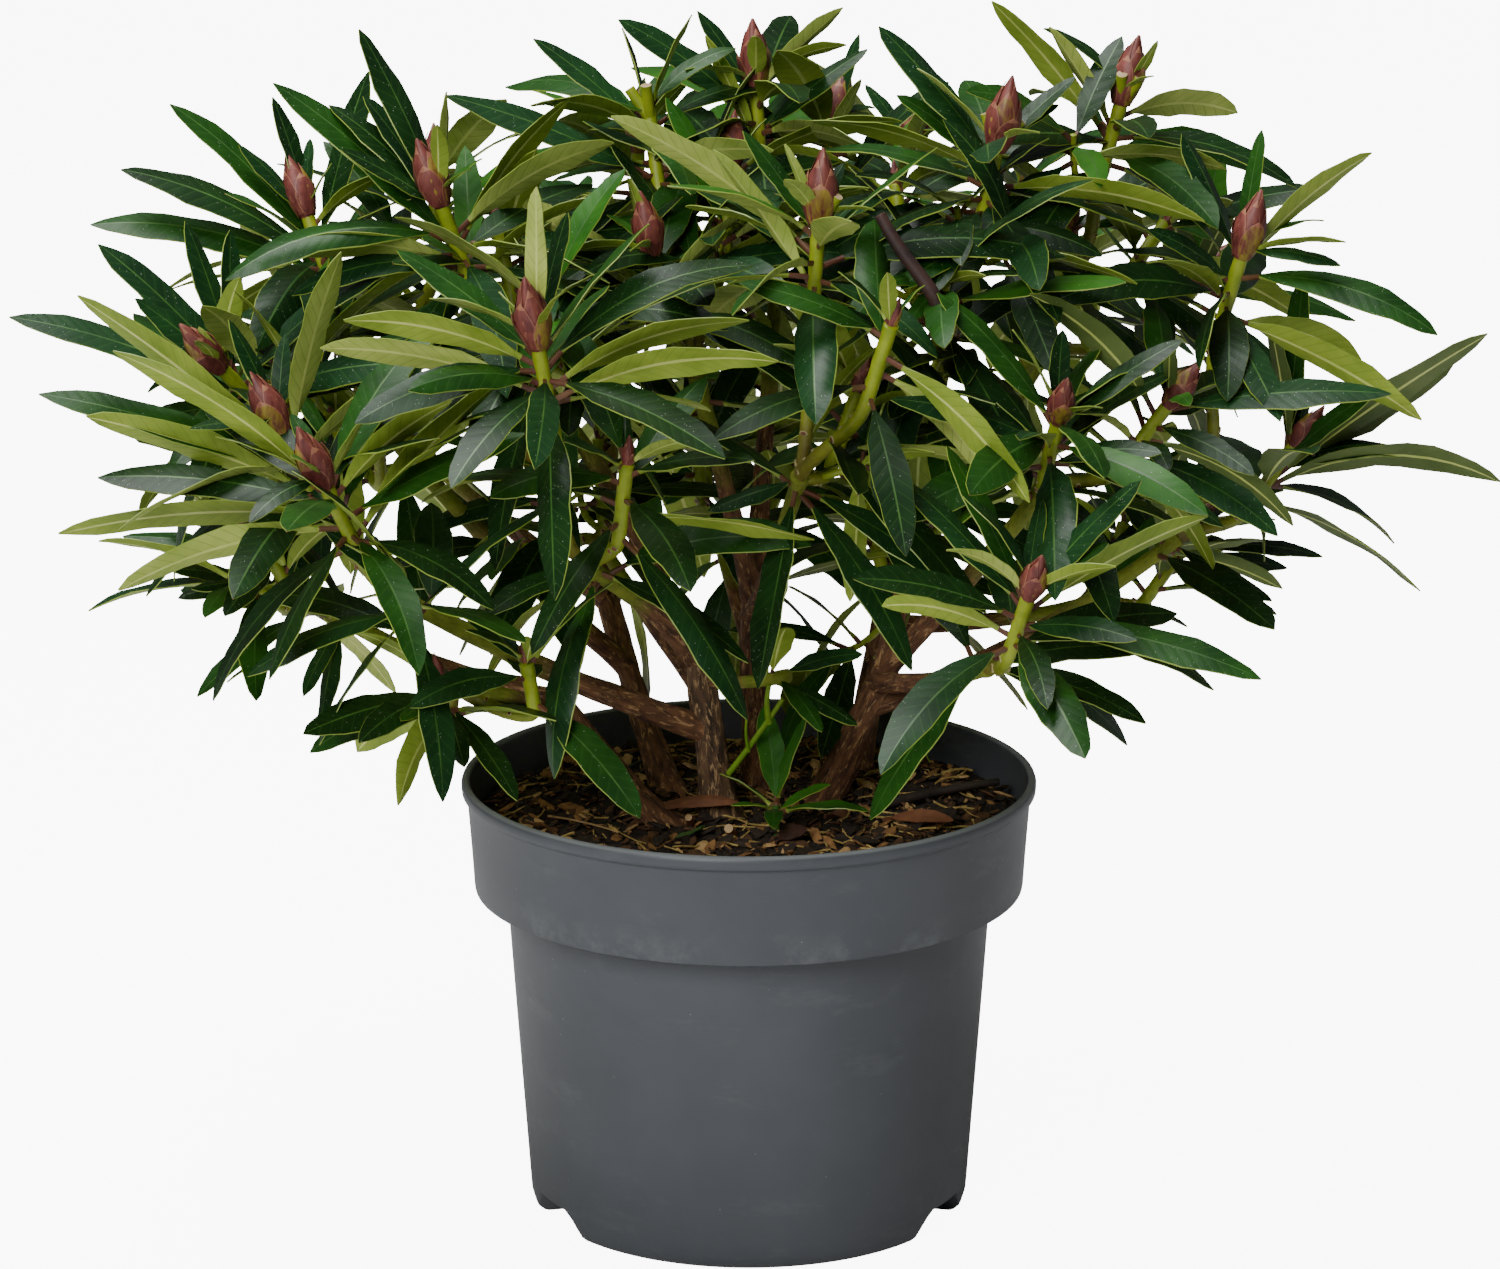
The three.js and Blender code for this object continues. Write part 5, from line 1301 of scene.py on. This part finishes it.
def makeSprout(materials):
    # a short stem with seven leaves, each rooted a little lower than the last
    sizes = dict(foot=(12, -44, 186), height=14, radius=1.9)
    rows = [(100, 66, 46, 20, 0), (20, 72, 44, 16, 0), (160, 30, 30, 30, 20), (-150, 14, 24, 40, 0),
            (-95, 4, 34, 40, 0), (-20, 6, 44, 30, 0), (15, 26, 28, 30, 10)]
    bundle = newBundle()
    top = np.array(sizes["foot"]) + (0, 0, sizes["height"])
    leaves = [placedLeaf(top - (0, 0, 1 + 0.5 * i), row) for i, row in enumerate(rows)]
    rings, uv = leafRings(leaves, 0.13, 300)
    tops = np.array([6, 6, 5, 6, 5, 6, 6])
    addShells(bundle, rings, leafSlots(tops, 0 * tops + 8), 0, uv)
    path = np.array(sizes["foot"]) + (0, 0, 1) * np.linspace(0, sizes["height"], 6)[:, None]
    addTube(bundle, path, np.full(6, sizes["radius"]), 10, 2)
    makePiece("soil_sprout", bundle, materials, 50)


def addLamp(name, place, aim, size, power):
    light = bpy.data.lights.new(name, "AREA")
    light.size = size
    light.energy = power
    lamp = bpy.data.objects.new(name, light)
    lamp.location = place
    lamp.rotation_euler = (Vector(aim) - Vector(place)).to_track_quat("-Z", "Y").to_euler()
    bpy.context.scene.collection.objects.link(lamp)


def makeStage():
    # a pale floor that the camera sees as white, a faint white world and three soft lamps
    sizes = dict(floor=14, glow=9.0, world=0.1)
    floorMaterial, tree, shader = newMaterial("stage_floor", 0.9)
    shader.inputs["Base Color"].default_value = (0.7, 0.7, 0.7, 1)
    shader.inputs["Emission Color"].default_value = (1, 1, 1, 1)
    seen = addNode(tree, "ShaderNodeLightPath", (-600, 0)).outputs["Is Camera Ray"]
    glow = reckon(tree, (-300, 0), "MULTIPLY", seen, sizes["glow"])
    tree.links.new(glow, shader.inputs["Emission Strength"])
    mesh = bpy.data.meshes.new("stage_floor")
    far = sizes["floor"]
    mesh.from_pydata([(-far, -far, 0), (far, -far, 0), (far, far, 0), (-far, far, 0)], [],
                     [(0, 1, 2, 3)])
    mesh.materials.append(floorMaterial)
    floor = bpy.data.objects.new("stage_floor", mesh)
    bpy.context.scene.collection.objects.link(floor)
    world = bpy.data.worlds.new("studio")
    world.use_nodes = True
    world.node_tree.nodes["Background"].inputs["Color"].default_value = (1, 1, 1, 1)
    world.node_tree.nodes["Background"].inputs["Strength"].default_value = sizes["world"]
    bpy.context.scene.world = world
    addLamp("key", (-0.9, -2.3, 1.7), (0, 0, 0.25), 1.2, 59)
    addLamp("top", (-0.5, 0.1, 2.3), (0, 0, 0.3), 1.2, 58)
    addLamp("edge", (1.7, 0.9, 0.7), (0, 0, 0.2), 0.4, 0.8)


def makeCamera():
    camera = bpy.data.cameras.new("camera")
    camera.lens = 134.4
    camera.sensor_width = 36
    holder = bpy.data.objects.new("camera", camera)
    holder.location = (0.0005, -2.437, 0.913)
    holder.rotation_euler = (math.radians(90 - 14.84), 0, 0)
    bpy.context.scene.collection.objects.link(holder)
    bpy.context.scene.camera = holder


makePot()
print("pot made")
makeSoil()
makeChips()
makeLitter()
print("soil made")
controls = limbControls()
grown = growPlant()
print("plant grown:", len(grown["leaves"]), "leaves")
red = makeStems()
makeBoughs(grown, red)
makeShoots(grown)
print("wood made")
makeBuds(grown)
leafLook = makeLeaves(grown)
makeSprout(leafLook)
print("leaves and buds made")
makeStage()
makeCamera()
